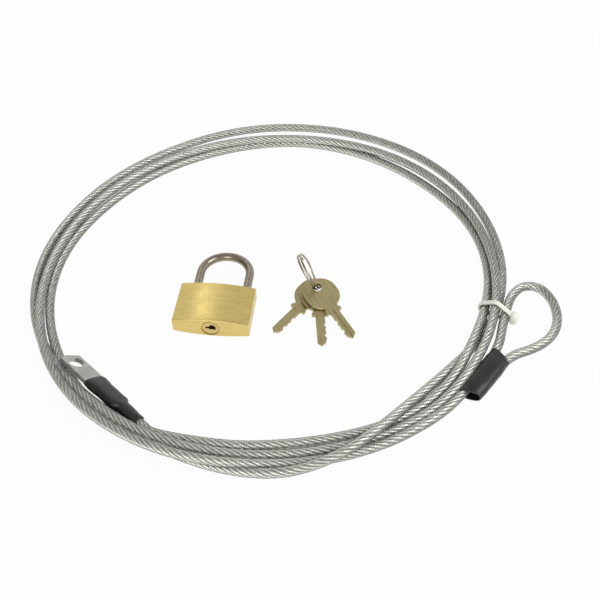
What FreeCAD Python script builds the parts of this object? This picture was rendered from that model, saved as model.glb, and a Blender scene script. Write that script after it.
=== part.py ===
"""Laptop cable lock: a coiled rope with a lug and an eye, a brass padlock and three keys on a ring.

Everything lies on a table. Millimetres, +Z up. The origin is on the table, under the middle of the
padlock and the keys. Each piece is drawn in a frame of its own and then laid in its place.
"""
import FreeCAD, Part
import math
import os

import Sketcher

Vector = FreeCAD.Vector
Rotation = FreeCAD.Rotation
Placement = FreeCAD.Placement
X_AXIS, Y_AXIS, Z_AXIS = Vector(1, 0, 0), Vector(0, 1, 0), Vector(0, 0, 1)

SIZES = {
    # rope
    "rope_diameter": (4.0, "rope over its clear jacket"),
    "coil_centre_x": (-14.0, "middle of the coil on the table"),
    "coil_centre_y": (16.0, "middle of the coil on the table"),
    "near_radius": (91.8, "first pass of the coil at its near side"),
    "right_radius": (97.9, "first pass at the right"),
    "far_radius": (96.5, "first pass at the far side"),
    "left_radius": (95.9, "first pass at the left"),
    "coil_squareness": (3.4, "how far the coil swings in and out between those four sides"),
    "first_bend_angle": (256.0, "where the rope has turned into the coil after the lug"),
    "first_bend_radius": (92.5, "its distance from the coil's middle there"),
    # lug
    "lug_end_x": (-58.5, "mouth of the lug's sleeve"),
    "lug_end_y": (-64.6, "mouth of the lug's sleeve"),
    "lug_height": (4.3, "lug's centreline above the table"),
    "lug_heading": (-38.5, "direction from the tab to the rope, degrees"),
    "lug_roll": (-32.0, "lean of the lug about its length, degrees"),
    "tab_width": (11.0, "flat tab"),
    "tab_thickness": (2.0, "flat tab"),
    "tab_length": (19.0, "tip of the tab to the barrel"),
    "tab_hole_diameter": (6.2, "fastening hole"),
    "tab_hole_inset": (5.7, "tip of the tab to the hole's middle"),
    "tab_peak_inset": (2.0, "left corner of the tip behind its peak"),
    "tab_right_inset": (1.1, "right corner of the tip behind its peak"),
    "tab_peak_offset": (1.6, "peak of the tip off the tab's middle"),
    "barrel_width": (8.4, "crimped barrel"),
    "barrel_thickness": (3.8, "crimped barrel"),
    "barrel_length": (15.6, "crimped barrel"),
    "barrel_radius": (1.4, "rounding of the barrel's long edges"),
    "sleeve_wall": (0.5, "shrink sleeves"),
    "sleeve_gap": (0.05, "between a shrink sleeve and what it grips"),
    "lug_sleeve_overlap": (1.4, "sleeve over the end of the tab"),
    "lug_sleeve_length": (18.8, "part of the sleeve round the barrel"),
    "lug_sleeve_tail": (10.2, "part of the sleeve round the rope"),
    "tail_start_radius": (3.1, "sleeve's tail where it leaves the barrel"),
    "tail_end_radius": (2.5, "sleeve's tail at its mouth"),
    # ferrule of the eye
    "ferrule_x": (75.8, "middle of the ferrule"),
    "ferrule_y": (-44.7, "middle of the ferrule"),
    "ferrule_heading": (51.2, "direction from the coil to the eye, degrees"),
    "ferrule_length": (16.0, "double barrel ferrule"),
    "ferrule_width": (9.2, "double barrel ferrule"),
    "ferrule_thickness": (5.2, "double barrel ferrule"),
    "bore_spacing": (4.4, "between the ferrule's two bores"),
    "bore_clearance": (0.1, "ferrule's bore over the rope's diameter"),
    "eye_sleeve_length": (25.0, "shrink sleeve over the ferrule"),
    # tie
    "tie_angle": (-15.5, "place of the tie round the coil, degrees from +X"),
    "tie_width": (2.2, "band of the tie"),
    "tie_thickness": (0.9, "band of the tie"),
    "tie_gap": (0.15, "between the tie and the ropes"),
    "tie_head_length": (4.6, "head of the tie along the rope"),
    "tie_head_depth": (3.0, "head of the tie across the band"),
    "tie_head_height": (5.2, "head of the tie along the band"),
    "tie_head_radius": (0.8, "rounding of the head"),
    # padlock body
    "padlock_x": (-37.6, "middle of the padlock's lower face"),
    "padlock_y": (-20.75, "middle of the padlock's lower face"),
    "padlock_turn": (-6.0, "padlock's turn on the table, degrees"),
    "body_width": (32.8, "padlock body"),
    "body_height": (22.0, "padlock body without its shackle"),
    "body_thickness": (9.6, "body at its middle"),
    "edge_thickness": (6.4, "body at its narrow sides"),
    "body_edge_radius": (0.35, "rounding of the body's edges"),
    "press_gap": (0.02, "play of a pressed piece, on the diameter"),
    "run_gap": (0.1, "play of a moving piece, on the diameter"),
    "spring_gap": (0.05, "between a spring and each of its seats"),
    "overrun": (0.5, "how far a cut or a joined piece runs past the face that it meets"),
    # shackle
    "shackle_diameter": (3.8, "shackle"),
    "leg_spacing": (21.9, "between the shackle's legs"),
    "shackle_offset": (0.9, "shackle's middle right of the body's"),
    "shackle_rise": (10.5, "straight part of the legs above the body"),
    "heel_depth": (15.9, "heel inside the body"),
    "toe_depth": (8.2, "toe inside the body"),
    "toe_gap": (0.3, "room under the toe"),
    "shackle_lift": (7.0, "travel of the shackle"),
    "lift_gap": (0.2, "room between the heel pin and each end of the neck"),
    "neck_diameter": (2.4, "neck of the heel"),
    "neck_foot": (1.2, "solid foot under the neck"),
    "heel_pin_diameter": (1.4, "pin that keeps the heel in"),
    "pin_depth": (7.0, "holes of the pins, from the back of the body"),
    "pin_inset": (0.7, "pins' outer ends inside the back's crown"),
    "heel_spring_length": (3.8, "spring under the heel, shackle closed"),
    "heel_spring_diameter": (3.4, "spring under the heel"),
    "heel_spring_wire": (0.5, "its wire"),
    "toe_chamfer": (0.5, "toe's tip"),
    # bolt
    "bolt_diameter": (3.2, "lock bolt"),
    "bolt_drop": (2.7, "bolt's axis under the top face"),
    "bolt_travel": (3.0, "bolt's way back when the plug turns"),
    "notch_depth": (1.3, "toe's notch for the bolt"),
    "notch_gap": (0.1, "between the bolt's nose and the notch"),
    "bolt_tail": (-1.6, "inner end of the bolt, from the plug's axis"),
    "bolt_bore_end": (-7.0, "inner end of the bolt's bore"),
    "bolt_spring_diameter": (2.8, "spring behind the bolt"),
    "bolt_spring_wire": (0.35, "its wire"),
    "bolt_cap_length": (1.9, "plug that closes the bolt's bore"),
    # plug
    "plug_diameter": (7.0, "key plug"),
    "tail_length": (1.4, "key plug's tail"),
    "mouth_diameter": (8.0, "mouth of the plug's bore"),
    "mouth_depth": (0.8, "mouth of the plug's bore"),
    "mouth_shift": (0.15, "its middle left of the plug's and towards the back"),
    "plug_inset": (0.1, "plug's face inside the body's"),
    "cam_diameter": (1.0, "pin on the plug's tail"),
    "cam_length": (2.8, "pin on the plug's tail"),
    "cam_gap": (0.15, "between that pin and the bolt's slot"),
    "tail_gap": (0.1, "between the plug's tail and the bolt"),
    "keyway_width": (4.5, "keyway"),
    "keyway_thickness": (1.5, "keyway"),
    "keyway_hump": (1.1, "hump of the keyway over its slot"),
    "keyway_floor": (0.2, "between the keyway's end and the plug's tail"),
    "groove_depth": (0.65, "plug's groove for its pin"),
    "groove_width": (1.6, "plug's groove for its pin"),
    "groove_drop": (2.0, "middle of that groove under the plug's tail"),
    "plug_pin_diameter": (1.4, "pin that keeps the plug in"),
    # pins
    "chamber_diameter": (2.0, "pin chamber"),
    "chamber_pitch": (2.76, "between pin chambers"),
    "first_chamber": (2.4, "lowest chamber above the lower face"),
    "chamber_floor": (0.15, "inner end of the chambers from the plug's axis"),
    "key_pin_end": (3.32, "outer end of the key pins from the plug's axis"),
    "driver_start": (3.62, "inner end of the driver pins from the plug's axis"),
    "driver_length": (3.6, "driver pin"),
    "pin_spring_length": (4.9, "pin spring at rest"),
    "pin_spring_diameter": (1.7, "pin spring"),
    "pin_spring_wire": (0.25, "its wire"),
    "chamber_cap_inset": (0.1, "chamber plugs inside the body's side"),
    # ring
    "ring_wire": (0.9, "wire of the split ring"),
    "ring_pitch": (1.3, "between its two windings"),
    "ring_radius": (8.6, "middle of its wire"),
    "ring_x": (7.93, "where the ring stands"),
    "ring_y": (10.17, "where the ring stands"),
    "ring_heading": (104.5, "direction of the ring's plane on the table, degrees"),
    "ring_lean": (28.0, "lean of the ring from upright, degrees"),
    "table_gap": (0.02, "between the ring and the table"),
    # keys
    "key_thickness": (1.3, "key"),
    "key_gap": (0.15, "between stacked keys"),
    "first_key_height": (3.0, "middle of the lowest key at its hole"),
    "stack_tilt": (4.0, "slope of the stacked keys, degrees"),
    "stack_heading": (262.0, "direction in which they slope down, degrees"),
    "bow_width": (15.3, "key's bow"),
    "bow_length": (17.5, "key's bow"),
    "key_hole_diameter": (4.3, "hole in the bow"),
    "key_hole_inset": (4.9, "end of the bow to the hole's middle"),
    "neck_width": (6.0, "key between its bow and its stops"),
    "neck_length": (1.0, "key between its bow and its stops"),
    "neck_start": (2.0, "neck's beginning inside the bow"),
    "shoulder_width": (7.2, "key's stops"),
    "shoulder_length": (1.6, "key's stops"),
    "blade_width": (4.2, "key's blade"),
    "blade_length": (15.7, "key's blade"),
    "blade_tip": (1.6, "point of the blade"),
    "cut_width": (1.0, "floor of each cut"),
    "peak_drop": (0.1, "ridges between the cuts under the blade's edge"),
    "step_width": (1.5, "step along the blade's back, on one face"),
    "step_depth": (0.4, "step along the blade's back"),
    "blade_groove_width": (0.7, "groove along the blade's other face"),
    "blade_groove_depth": (0.35, "groove along the blade"),
    "blade_groove_offset": (0.2, "middle of that groove off the blade's, towards the cuts"),
    "key_edge": (0.15, "broken edge of the bow"),
}

# Depths of the blade's cuts, from the stops to the tip. Each key pin is as long as its cut asks for.
CUTS = (0.3, 0.8, 0.45, 0.95)
# Shares of half a width: the blade's point and upper corner, the keyway's hump (foot, start, end).
POINT_SHARE, CORNER_SHARE = -0.1, 0.7
HUMP_SHARES = (-0.35, -0.05, 0.55)
KEY_HEADINGS = (231.0, 273.0, 298.5)
KEY_FLIPPED = (False, False, True)

# Passes of the coil at each side: steps outward and lift of each pass, in rope diameters.
PASS_STEPS = {"near": (0, 1.325, 2.475, 3.725), "right": (0, 0.8, 1.725), "far": (0, 0.55, 3.375),
              "left": (0, 1.0, 2.125)}
PASS_LIFTS = {"near": (0, 0.325, 0, 0), "right": (0.325, 1.275, 0.4), "far": (0, 1.075, 0),
              "left": (0, 0.675, 0)}
FIRST_BEND_LIFT = 0.2

# The free loop of the eye, from the live bore round to the return bore: x, y and height.
EYE_POINTS = (
    (87.6, -15.9, 3.2), (93.0, -1.9, 3.1), (96.6, 4.4, 2.6), (100.3, 6.5, 2.2), (104.6, 6.2, 2.1),
    (108.0, 3.6, 2.1), (111.0, -4.0, 2.1), (110.5, -14.5, 2.1), (106.0, -23.4, 2.2),
    (97.6, -29.9, 2.6),
)
EYE_LEAD = 14.5     # the rope is still straight this far from the ferrule's middle
EYE_RETURN = 3.2    # the returning end stops this far from the ferrule's middle
BEND_SHARE = 0.45   # part of the shorter run that the eye's arcs take at a corner

PIN_SPRING_TURNS, HEEL_SPRING_TURNS, BOLT_SPRING_TURNS = 6, 4, 5
RING_QUARTERS = 8   # quarter turns of the key ring's wire
PLUG_SEAM = 135     # the barrel's seam lies between the keyway and the chambers, degrees

SAME_PLACE = 1e-3   # lengths below this count as none
MEASURE_STEP = 1.5  # spacing of the points that a path is measured by
LOOP_APART = 60.0   # stretches of rope nearer than this along it are parts of one bend

doc = FreeCAD.newDocument("CableLock")
sheet = doc.addObject("Spreadsheet::Sheet", "Sizes")


class Dim:
    """A length with its number and the expression that ties it to the sheet."""

    def __init__(self, number, text):
        self.number = float(number)
        self.text = text

    def __float__(self):
        return self.number

    def __neg__(self):
        return Dim(-self.number, f"(-{self.text})")

    def __add__(self, other):
        other = as_dim(other)
        return Dim(self.number + other.number, f"({self.text} + {other.text})")

    def __sub__(self, other):
        other = as_dim(other)
        return Dim(self.number - other.number, f"({self.text} - {other.text})")

    def __mul__(self, other):
        other = as_dim(other)
        return Dim(self.number * other.number, f"({self.text} * {other.text})")

    def __truediv__(self, other):
        other = as_dim(other)
        return Dim(self.number / other.number, f"({self.text} / {other.text})")

    __radd__ = __add__
    __rmul__ = __mul__


def as_dim(value):
    return value if isinstance(value, Dim) else Dim(value, repr(float(value)))


class Sheet:
    """The sheet's sizes by name."""

    def __init__(self, sizes):
        for row, (alias, (number, meaning)) in enumerate(sizes.items(), start=1):
            sheet.set(f"A{row}", meaning)
            sheet.set(f"B{row}", str(number))
            sheet.setAlias(f"B{row}", alias)
        doc.recompute()
        for alias in sizes:
            setattr(self, alias, Dim(sheet.get(alias), f"Sizes.{alias}"))


S = Sheet(SIZES)
ZERO = as_dim(0)


# Sketches and features

def new_body(name):
    body = doc.addObject("PartDesign::Body", name)
    body.Label = name
    return body


def origin_feature(body, role):
    return next(f for f in body.Origin.OriginFeatures if f.Role == role)


def new_sketch(body, name, role="XY_Plane", offset=ZERO, turn=0):
    """A sketch on one of the body's own planes, moved along that plane's normal."""
    sketch = body.newObject("Sketcher::SketchObject", name)
    sketch.AttachmentSupport = [(origin_feature(body, role), "")]
    sketch.MapMode = "FlatFace"
    offset = as_dim(offset)
    sketch.AttachmentOffset = Placement(Vector(0, 0, offset.number), Rotation(Z_AXIS, turn))
    sketch.setExpression("AttachmentOffset.Base.z", offset.text)
    return sketch


def tie_down(sketch, kind, refs, value):
    """A constraint whose value is tied to the sheet."""
    value = as_dim(value)
    index = sketch.addConstraint(Sketcher.Constraint(kind, *refs, value.number))
    sketch.setExpression(f"Constraints[{index}]", value.text)


def add_circle(sketch, x, y, diameter):
    x, y, diameter = as_dim(x), as_dim(y), as_dim(diameter)
    geo = sketch.addGeometry(Part.Circle(Vector(float(x), float(y), 0), Z_AXIS, float(diameter) / 2))
    tie_down(sketch, "Diameter", (geo,), diameter)
    tie_down(sketch, "DistanceX", (-1, 1, geo, 3), x)
    tie_down(sketch, "DistanceY", (-1, 1, geo, 3), y)
    return geo


def bulge_arc(start, end, radius, left):
    """Arc from start to end, bulging to the left or right of the way between them."""
    along = end - start
    half = along.Length / 2
    side = Vector(-along.y, along.x, 0).normalize() * (1 if left else -1)
    middle = (start + end) / 2 + side * (radius - math.sqrt(max(radius * radius - half * half, 0)))
    return Part.Arc(start, middle, end)


def add_outline(sketch, corners):
    """A closed outline. A corner is (x, y), or (x, y, radius, left) to reach it by an arc."""
    spots = [Vector(float(as_dim(c[0])), float(as_dim(c[1])), 0) for c in corners]
    sides = []
    for i, corner in enumerate(corners):
        start, end = spots[i - 1], spots[i]
        if len(corner) > 2:
            arc = bulge_arc(start, end, float(as_dim(corner[2])), corner[3])
            geo = sketch.addGeometry(arc)
            begins_first = sketch.Geometry[geo].StartPoint.distanceToPoint(start) < SAME_PLACE
            sides.append((geo, 1, 2) if begins_first else (geo, 2, 1))
            tie_down(sketch, "Radius", (geo,), corner[2])
        else:
            sides.append((sketch.addGeometry(Part.LineSegment(start, end)), 1, 2))
    for i, corner in enumerate(corners):
        geo, _, last = sides[i]
        after, first, _ = sides[(i + 1) % len(sides)]
        sketch.addConstraint(Sketcher.Constraint("Coincident", geo, last, after, first))
        tie_down(sketch, "DistanceX", (-1, 1, geo, last), corner[0])
        tie_down(sketch, "DistanceY", (-1, 1, geo, last), corner[1])


def add_box(sketch, x0, x1, y0, y1):
    add_outline(sketch, [(x0, y0), (x1, y0), (x1, y1), (x0, y1)])


def add_stadium(sketch, left, right, radius):
    """Two half circles round middles on the first axis, joined by lines."""
    left, right, radius = as_dim(left), as_dim(right), as_dim(radius)
    x0, x1, r = float(left), float(right), float(radius)
    ends = [sketch.addGeometry(Part.Arc(Vector(x0, r, 0), Vector(x0 - r, 0, 0), Vector(x0, -r, 0))),
            sketch.addGeometry(Part.Arc(Vector(x1, -r, 0), Vector(x1 + r, 0, 0), Vector(x1, r, 0)))]
    low = sketch.addGeometry(Part.LineSegment(Vector(x0, -r, 0), Vector(x1, -r, 0)))
    high = sketch.addGeometry(Part.LineSegment(Vector(x1, r, 0), Vector(x0, r, 0)))
    for arc, arc_end, line, line_end in ((ends[0], 2, low, 1), (low, 2, ends[1], 1),
                                         (ends[1], 2, high, 1), (high, 2, ends[0], 1)):
        sketch.addConstraint(Sketcher.Constraint("Tangent", arc, arc_end, line, line_end))
    for arc, middle in zip(ends, (left, right)):
        tie_down(sketch, "DistanceX", (-1, 1, arc, 3), middle)
        tie_down(sketch, "DistanceY", (-1, 1, arc, 3), ZERO)
        tie_down(sketch, "Radius", (arc,), radius)


def add_oval(sketch, width, thickness):
    """A flat oval about the origin, wide along the sketch's first axis."""
    half = width / 2 - thickness / 2
    add_stadium(sketch, -half, half, thickness / 2)


def volume_of(body):
    doc.recompute()
    return body.Shape.Volume if not body.Shape.isNull() else 0.0


def add_feature(kind, body, name, sketch, length, reverse=False):
    """A pad or a pocket of a tied length. A pocket that takes nothing away is refused."""
    before = volume_of(body)
    feature = body.newObject(f"PartDesign::{kind}", name)
    feature.Profile = sketch
    feature.Length = float(as_dim(length))
    feature.setExpression("Length", as_dim(length).text)
    feature.Reversed = reverse
    sketch.Visibility = False
    after = volume_of(body)
    if (kind == "Pad" and after <= before) or (kind == "Pocket" and after >= before):
        raise ValueError(f"{body.Label}: {name} changes nothing, {before:.3f} to {after:.3f} mm3")
    return feature


def pad(body, name, sketch, length, reverse=False):
    return add_feature("Pad", body, name, sketch, length, reverse)


def pocket(body, name, sketch, length, reverse=False):
    return add_feature("Pocket", body, name, sketch, length, reverse)


def bar(name, role, start, length, diameter, x=ZERO, y=ZERO):
    """A round bar along a plane's normal."""
    body = new_body(name)
    sketch = new_sketch(body, f"{name}_circle", role, start)
    add_circle(sketch, x, y, diameter)
    pad(body, f"{name}_bar", sketch, length)
    return body


def dress(kind, body, name, feature, edges, size):
    """A fillet or chamfer on the edges that the test picks."""
    picked = [f"Edge{i}" for i, edge in enumerate(feature.Shape.Edges, start=1) if edges(edge)]
    made = body.newObject(f"PartDesign::{kind}", name)
    made.Base = (feature, picked)
    prop = "Radius" if kind == "Fillet" else "Size"
    setattr(made, prop, float(as_dim(size)))
    made.setExpression(prop, as_dim(size).text)
    doc.recompute()
    return made


def row_along(body, name, feature, role, length, count):
    """Copies of a feature in a row along one of the body's axes."""
    before = volume_of(body)
    pattern = body.newObject("PartDesign::LinearPattern", name)
    pattern.Originals = [feature]
    pattern.Direction = (origin_feature(body, role), [""])
    pattern.Length = float(as_dim(length))
    pattern.setExpression("Length", as_dim(length).text)
    pattern.Occurrences = count
    body.Tip = pattern
    if volume_of(body) >= before:
        raise ValueError(f"{body.Label}: {name} repeats nothing")
    return pattern


# Wires of arcs, and tubes along them

def biarc(start, start_way, end, end_way):
    """Two corners and the joint between the two arcs that join a place and direction to the next."""
    chord = end - start
    ways = start_way + end_way
    spread = 2 * (1 - start_way.dot(end_way))
    if spread < 1e-9:
        reach = chord.dot(chord) / (4 * chord.dot(end_way))
    else:
        reach = (math.sqrt(chord.dot(ways) ** 2 + spread * chord.dot(chord)) - chord.dot(ways)) / spread
    first, second = start + start_way * reach, end - end_way * reach
    return first, (first + second) / 2, second


def arc_spots(start, corner, end, count):
    """Points along the arc from start to end whose tangents meet at the corner, start included."""
    way_in, way_out = corner - start, end - corner
    turn = way_in.getAngle(way_out)
    if turn < 1e-6:
        return [start + (end - start) * (i / count) for i in range(count)]
    radius = way_in.Length / math.tan(turn / 2)
    ahead = Vector(way_in).normalize()
    out = Vector(way_out).normalize()
    inward = (out - ahead * math.cos(turn)).normalize()
    spots = []
    for i in range(count):
        angle = turn * i / count
        spots.append(start + ahead * (radius * math.sin(angle)) + inward * (radius * (1 - math.cos(angle))))
    return spots


def arc_edge(start, corner, end):
    way_in, way_out = corner - start, end - corner
    if way_in.getAngle(way_out) < 1e-6:
        return Part.LineSegment(start, end).toShape()
    return Part.Arc(start, arc_spots(start, corner, end, 2)[1], end).toShape()


class Path:
    """A smooth way of straight runs and arcs, kept as edges and as points for measuring."""

    def __init__(self, start):
        self.spot = start
        self.edges = []
        self.spots = [start]

    def straight(self, end):
        self.edges.append(Part.LineSegment(self.spot, end).toShape())
        steps = max(1, int((end - self.spot).Length / MEASURE_STEP))
        self.spots += [self.spot + (end - self.spot) * (i / steps) for i in range(1, steps + 1)]
        self.spot = end

    def arc(self, corner, end):
        self.edges.append(arc_edge(self.spot, corner, end))
        steps = max(2, int((end - self.spot).Length / MEASURE_STEP))
        self.spots += arc_spots(self.spot, corner, end, steps)[1:] + [end]
        self.spot = end

    def swing(self, way, end, end_way):
        """Two arcs to the next place and direction."""
        first, joint, second = biarc(self.spot, way, end, end_way)
        self.arc(first, joint)
        self.arc(second, end)

    def tube(self, diameter):
        spine = Part.Wire(self.edges)
        ahead = self.spots[1] - self.spots[0]
        circle = Part.Wire(Part.makeCircle(diameter / 2, self.spots[0], ahead))
        return spine.makePipeShell([circle], True, False)

    @property
    def length(self):
        return sum(edge.Length for edge in self.edges)

    def least_gap(self, diameter, apart):
        """Least space between two stretches of the tube that are at least apart along it."""
        along, best = [0.0], None
        for a, b in zip(self.spots, self.spots[1:]):
            along.append(along[-1] + (b - a).Length)
        for i, a in enumerate(self.spots):
            for j in range(i + 1, len(self.spots)):
                if along[j] - along[i] < apart:
                    continue
                room = (self.spots[j] - a).Length - diameter
                if best is None or room < best[0]:
                    best = (room, a)
        return best


def polar(angle):
    angle = math.radians(angle)
    return Vector(math.cos(angle), math.sin(angle), 0)


def free_tube(name, shape):
    """An object of its own for a shape made from the sheet's numbers."""
    feature = doc.addObject("Part::Feature", name)
    feature.Label = name
    feature.Shape = shape
    return feature


def spring(name, start, way, across, length, diameter, wire, turns):
    """A wire wound in quarter turns between two seats, from start along way."""
    radius = float(diameter) / 2 - float(wire) / 2
    run = float(length) - float(wire) - float(S.spring_gap) * 2
    side = way.cross(across)
    base = start + way * (float(wire) / 2 + float(S.spring_gap))
    steps = 4 * turns
    slope = math.atan2(run / steps, radius * math.pi / 2)

    def place(step):
        angle = math.pi / 2 * step
        out = across * math.cos(angle) + side * math.sin(angle)
        round_way = side * math.cos(angle) - across * math.sin(angle)
        return (base + out * radius + way * (run * step / steps),
                round_way * math.cos(slope) + way * math.sin(slope))

    path = Path(place(0)[0])
    for step in range(steps):
        path.swing(place(step)[1], *place(step + 1))
    return free_tube(name, path.tube(float(wire)))


# Rope

def ferrule_spot(along, side):
    """A place in the ferrule: along its length from the middle, and in the live or return bore."""
    heading = polar(float(S.ferrule_heading))
    inner = Vector(-heading.y, heading.x, 0)
    return (Vector(float(S.ferrule_x), float(S.ferrule_y), ferrule_height())
            + heading * along + inner * (side * float(S.bore_spacing) / 2))


def ferrule_height():
    return float(eye_sleeve_thickness()) / 2 + float(S.sleeve_gap)


def eye_sleeve_width():
    return S.ferrule_width + (S.sleeve_wall + S.sleeve_gap) * 2


def eye_sleeve_thickness():
    return S.ferrule_thickness + (S.sleeve_wall + S.sleeve_gap) * 2


def coil_stations():
    """Angle, radius and height of the rope's centre at each side of each turn, from the lug on."""
    rope = float(S.rope_diameter)
    sides = (("near", 270, S.near_radius), ("right", 0, S.right_radius), ("far", 90, S.far_radius),
             ("left", 180, S.left_radius))
    stations = []
    for turn in range(4):
        for side, angle, inner in sides:
            if turn >= len(PASS_STEPS[side]):
                continue
            full = angle + 360 * turn + (0 if side == "near" else 360)
            stations.append((full, float(inner) + PASS_STEPS[side][turn] * rope,
                             rope / 2 + PASS_LIFTS[side][turn] * rope))
    return stations


def coil_place(angle, radius, height, drift):
    """A place on the coil and the rope's direction there."""
    out = polar(angle)
    around = Vector(-out.y, out.x, 0)
    swing = 2 * float(S.coil_squareness) * math.cos(2 * math.radians(angle)) + drift
    spot = Vector(float(S.coil_centre_x), float(S.coil_centre_y), height) + out * radius
    return spot, (around * radius + out * swing).normalize()


def coil_path():
    """From the barrel's mouth, round the coil, and into the live bore to the ferrule's middle."""
    rope = float(S.rope_diameter)
    heading = polar(float(S.lug_heading))
    mouth = Vector(float(S.lug_end_x), float(S.lug_end_y), float(S.lug_height))
    path = Path(mouth - heading * (float(S.lug_sleeve_tail) + float(lug_sleeve_slack())))
    path.straight(mouth + heading * rope)
    stations = coil_stations()
    places = [coil_place(float(S.first_bend_angle), float(S.first_bend_radius),
                         rope * (0.5 + FIRST_BEND_LIFT), 0.0)]
    for i, (angle, radius, height) in enumerate(stations):
        before, after = stations[max(i - 1, 0)], stations[min(i + 1, len(stations) - 1)]
        drift = (after[1] - before[1]) / math.radians(after[0] - before[0])
        places.append(coil_place(angle, radius, height, drift))
    way = heading
    for spot, next_way in places:
        path.swing(way, spot, next_way)
        way = next_way
    end_way = polar(float(S.ferrule_heading))
    path.swing(way, ferrule_spot(-float(S.eye_sleeve_length) / 2, 1), end_way)
    path.straight(ferrule_spot(0, 1))
    return path


def lug_sleeve_slack():
    """From the barrel's mouth to where the sleeve's tail begins."""
    return S.lug_sleeve_length - S.lug_sleeve_overlap - S.barrel_length


def eye_path():
    """From the ferrule's middle out of the live bore, round the eye, and into the return bore."""
    points = [ferrule_spot(0, 1), ferrule_spot(EYE_LEAD, 1)]
    points += [Vector(*p) for p in EYE_POINTS]
    points += [ferrule_spot(EYE_LEAD, -1), ferrule_spot(EYE_RETURN, -1)]
    path = Path(points[0])
    for before, corner, after in zip(points, points[1:], points[2:]):
        way_in, way_out = corner - before, after - corner
        reach = BEND_SHARE * min(way_in.Length, way_out.Length)
        path.straight(corner - way_in.normalize() * reach)
        path.arc(corner, corner + way_out.normalize() * reach)
    path.straight(points[-1])
    return path


def make_rope():
    rope = float(S.rope_diameter)
    paths = {"cable_coil": coil_path(), "cable_eye": eye_path()}
    for name, path in paths.items():
        made = free_tube(name, path.tube(rope))
        ideal = math.pi * rope * rope / 4 * path.length
        print(f"{name}: {path.length:.0f} mm long, volume {made.Shape.Volume:.0f}, straight {ideal:.0f}")
    room, where = paths["cable_coil"].least_gap(rope, LOOP_APART)
    print(f"cable_coil: least gap to itself {room:.2f} mm at {where.x:.0f}, {where.y:.0f}")
    return paths


# Fittings on the rope

LUG_SLEEVE_START = S.tab_length - S.lug_sleeve_overlap


def lug_placement():
    heading = polar(float(S.lug_heading))
    length = float(LUG_SLEEVE_START + S.lug_sleeve_length + S.lug_sleeve_tail)
    tip = Vector(float(S.lug_end_x), float(S.lug_end_y), float(S.lug_height)) - heading * length
    return Placement(tip, Rotation(Z_AXIS, float(S.lug_heading)) * Rotation(X_AXIS, float(S.lug_roll)))


def rounded_bar(body, name, start, length, width, thickness, radius):
    """A bar along X with rounded long edges."""
    sketch = new_sketch(body, f"{name}_section", "YZ_Plane", start)
    add_box(sketch, width / -2, width / 2, thickness / -2, thickness / 2)
    made = pad(body, name, sketch, length)

    def long_edge(edge):
        ends = [v.Point for v in edge.Vertexes]
        return abs((ends[-1] - ends[0]).x) > float(length) - SAME_PLACE

    return dress("Fillet", body, f"{name}_rounding", made, long_edge, radius)


def make_lug():
    body = new_body("cable_lug")
    rounded_bar(body, "barrel", S.tab_length, S.barrel_length, S.barrel_width, S.barrel_thickness,
                S.barrel_radius)
    tab = new_sketch(body, "tab_outline", "XY_Plane", S.tab_thickness / -2)
    half = S.tab_width / 2
    add_outline(tab, [(S.tab_length, -half), (S.tab_length, half), (S.tab_peak_inset, half),
                      (ZERO, -S.tab_peak_offset), (S.tab_right_inset, -half)])
    pad(body, "tab", tab, S.tab_thickness)
    hole = new_sketch(body, "hole_outline", "XY_Plane", S.tab_thickness)
    add_circle(hole, S.tab_hole_inset, ZERO, S.tab_hole_diameter)
    pocket(body, "hole", hole, S.tab_thickness * 2)
    body.Placement = lug_placement()
    return body


def make_lug_cover():
    """Shrink sleeve: a box round the barrel, then a cone down to the rope, open at both ends."""
    body = new_body("lug_cover")
    grow = (S.sleeve_wall + S.sleeve_gap) * 2
    slack = S.sleeve_gap * 2
    rounded_bar(body, "wide_part", LUG_SLEEVE_START, S.lug_sleeve_length, S.barrel_width + grow,
                S.barrel_thickness + grow, S.barrel_radius + grow / 2)
    start = LUG_SLEEVE_START + S.lug_sleeve_length
    profile = new_sketch(body, "tail_profile", "XY_Plane")
    add_outline(profile, [(start, ZERO), (start + S.lug_sleeve_tail, ZERO),
                          (start + S.lug_sleeve_tail, S.tail_end_radius), (start, S.tail_start_radius)])
    tail = body.newObject("PartDesign::Revolution", "tail")
    tail.Profile = profile
    tail.ReferenceAxis = (origin_feature(body, "X_Axis"), [""])
    tail.Angle = 360
    doc.recompute()
    bore = new_sketch(body, "rope_bore", "YZ_Plane", start + S.lug_sleeve_tail + S.overrun)
    add_circle(bore, ZERO, ZERO, S.rope_diameter + S.bore_clearance)
    pocket(body, "rope_way", bore, S.lug_sleeve_tail + lug_sleeve_slack() + S.overrun)
    cavity = new_sketch(body, "barrel_space", "YZ_Plane", S.tab_length + S.barrel_length + S.sleeve_gap)
    add_box(cavity, (S.barrel_width + slack) / -2, (S.barrel_width + slack) / 2,
            (S.barrel_thickness + slack) / -2, (S.barrel_thickness + slack) / 2)
    pocket(body, "barrel_way", cavity, S.barrel_length + S.tab_length)
    slot = new_sketch(body, "tab_space", "YZ_Plane", S.tab_length)
    add_box(slot, (S.tab_width + slack) / -2, (S.tab_width + slack) / 2,
            (S.tab_thickness + slack) / -2, (S.tab_thickness + slack) / 2)
    pocket(body, "tab_way", slot, S.tab_length)
    body.Placement = lug_placement()
    return body


def ferrule_placement():
    return Placement(Vector(float(S.ferrule_x), float(S.ferrule_y), ferrule_height()),
                     Rotation(Z_AXIS, float(S.ferrule_heading)))


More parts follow.
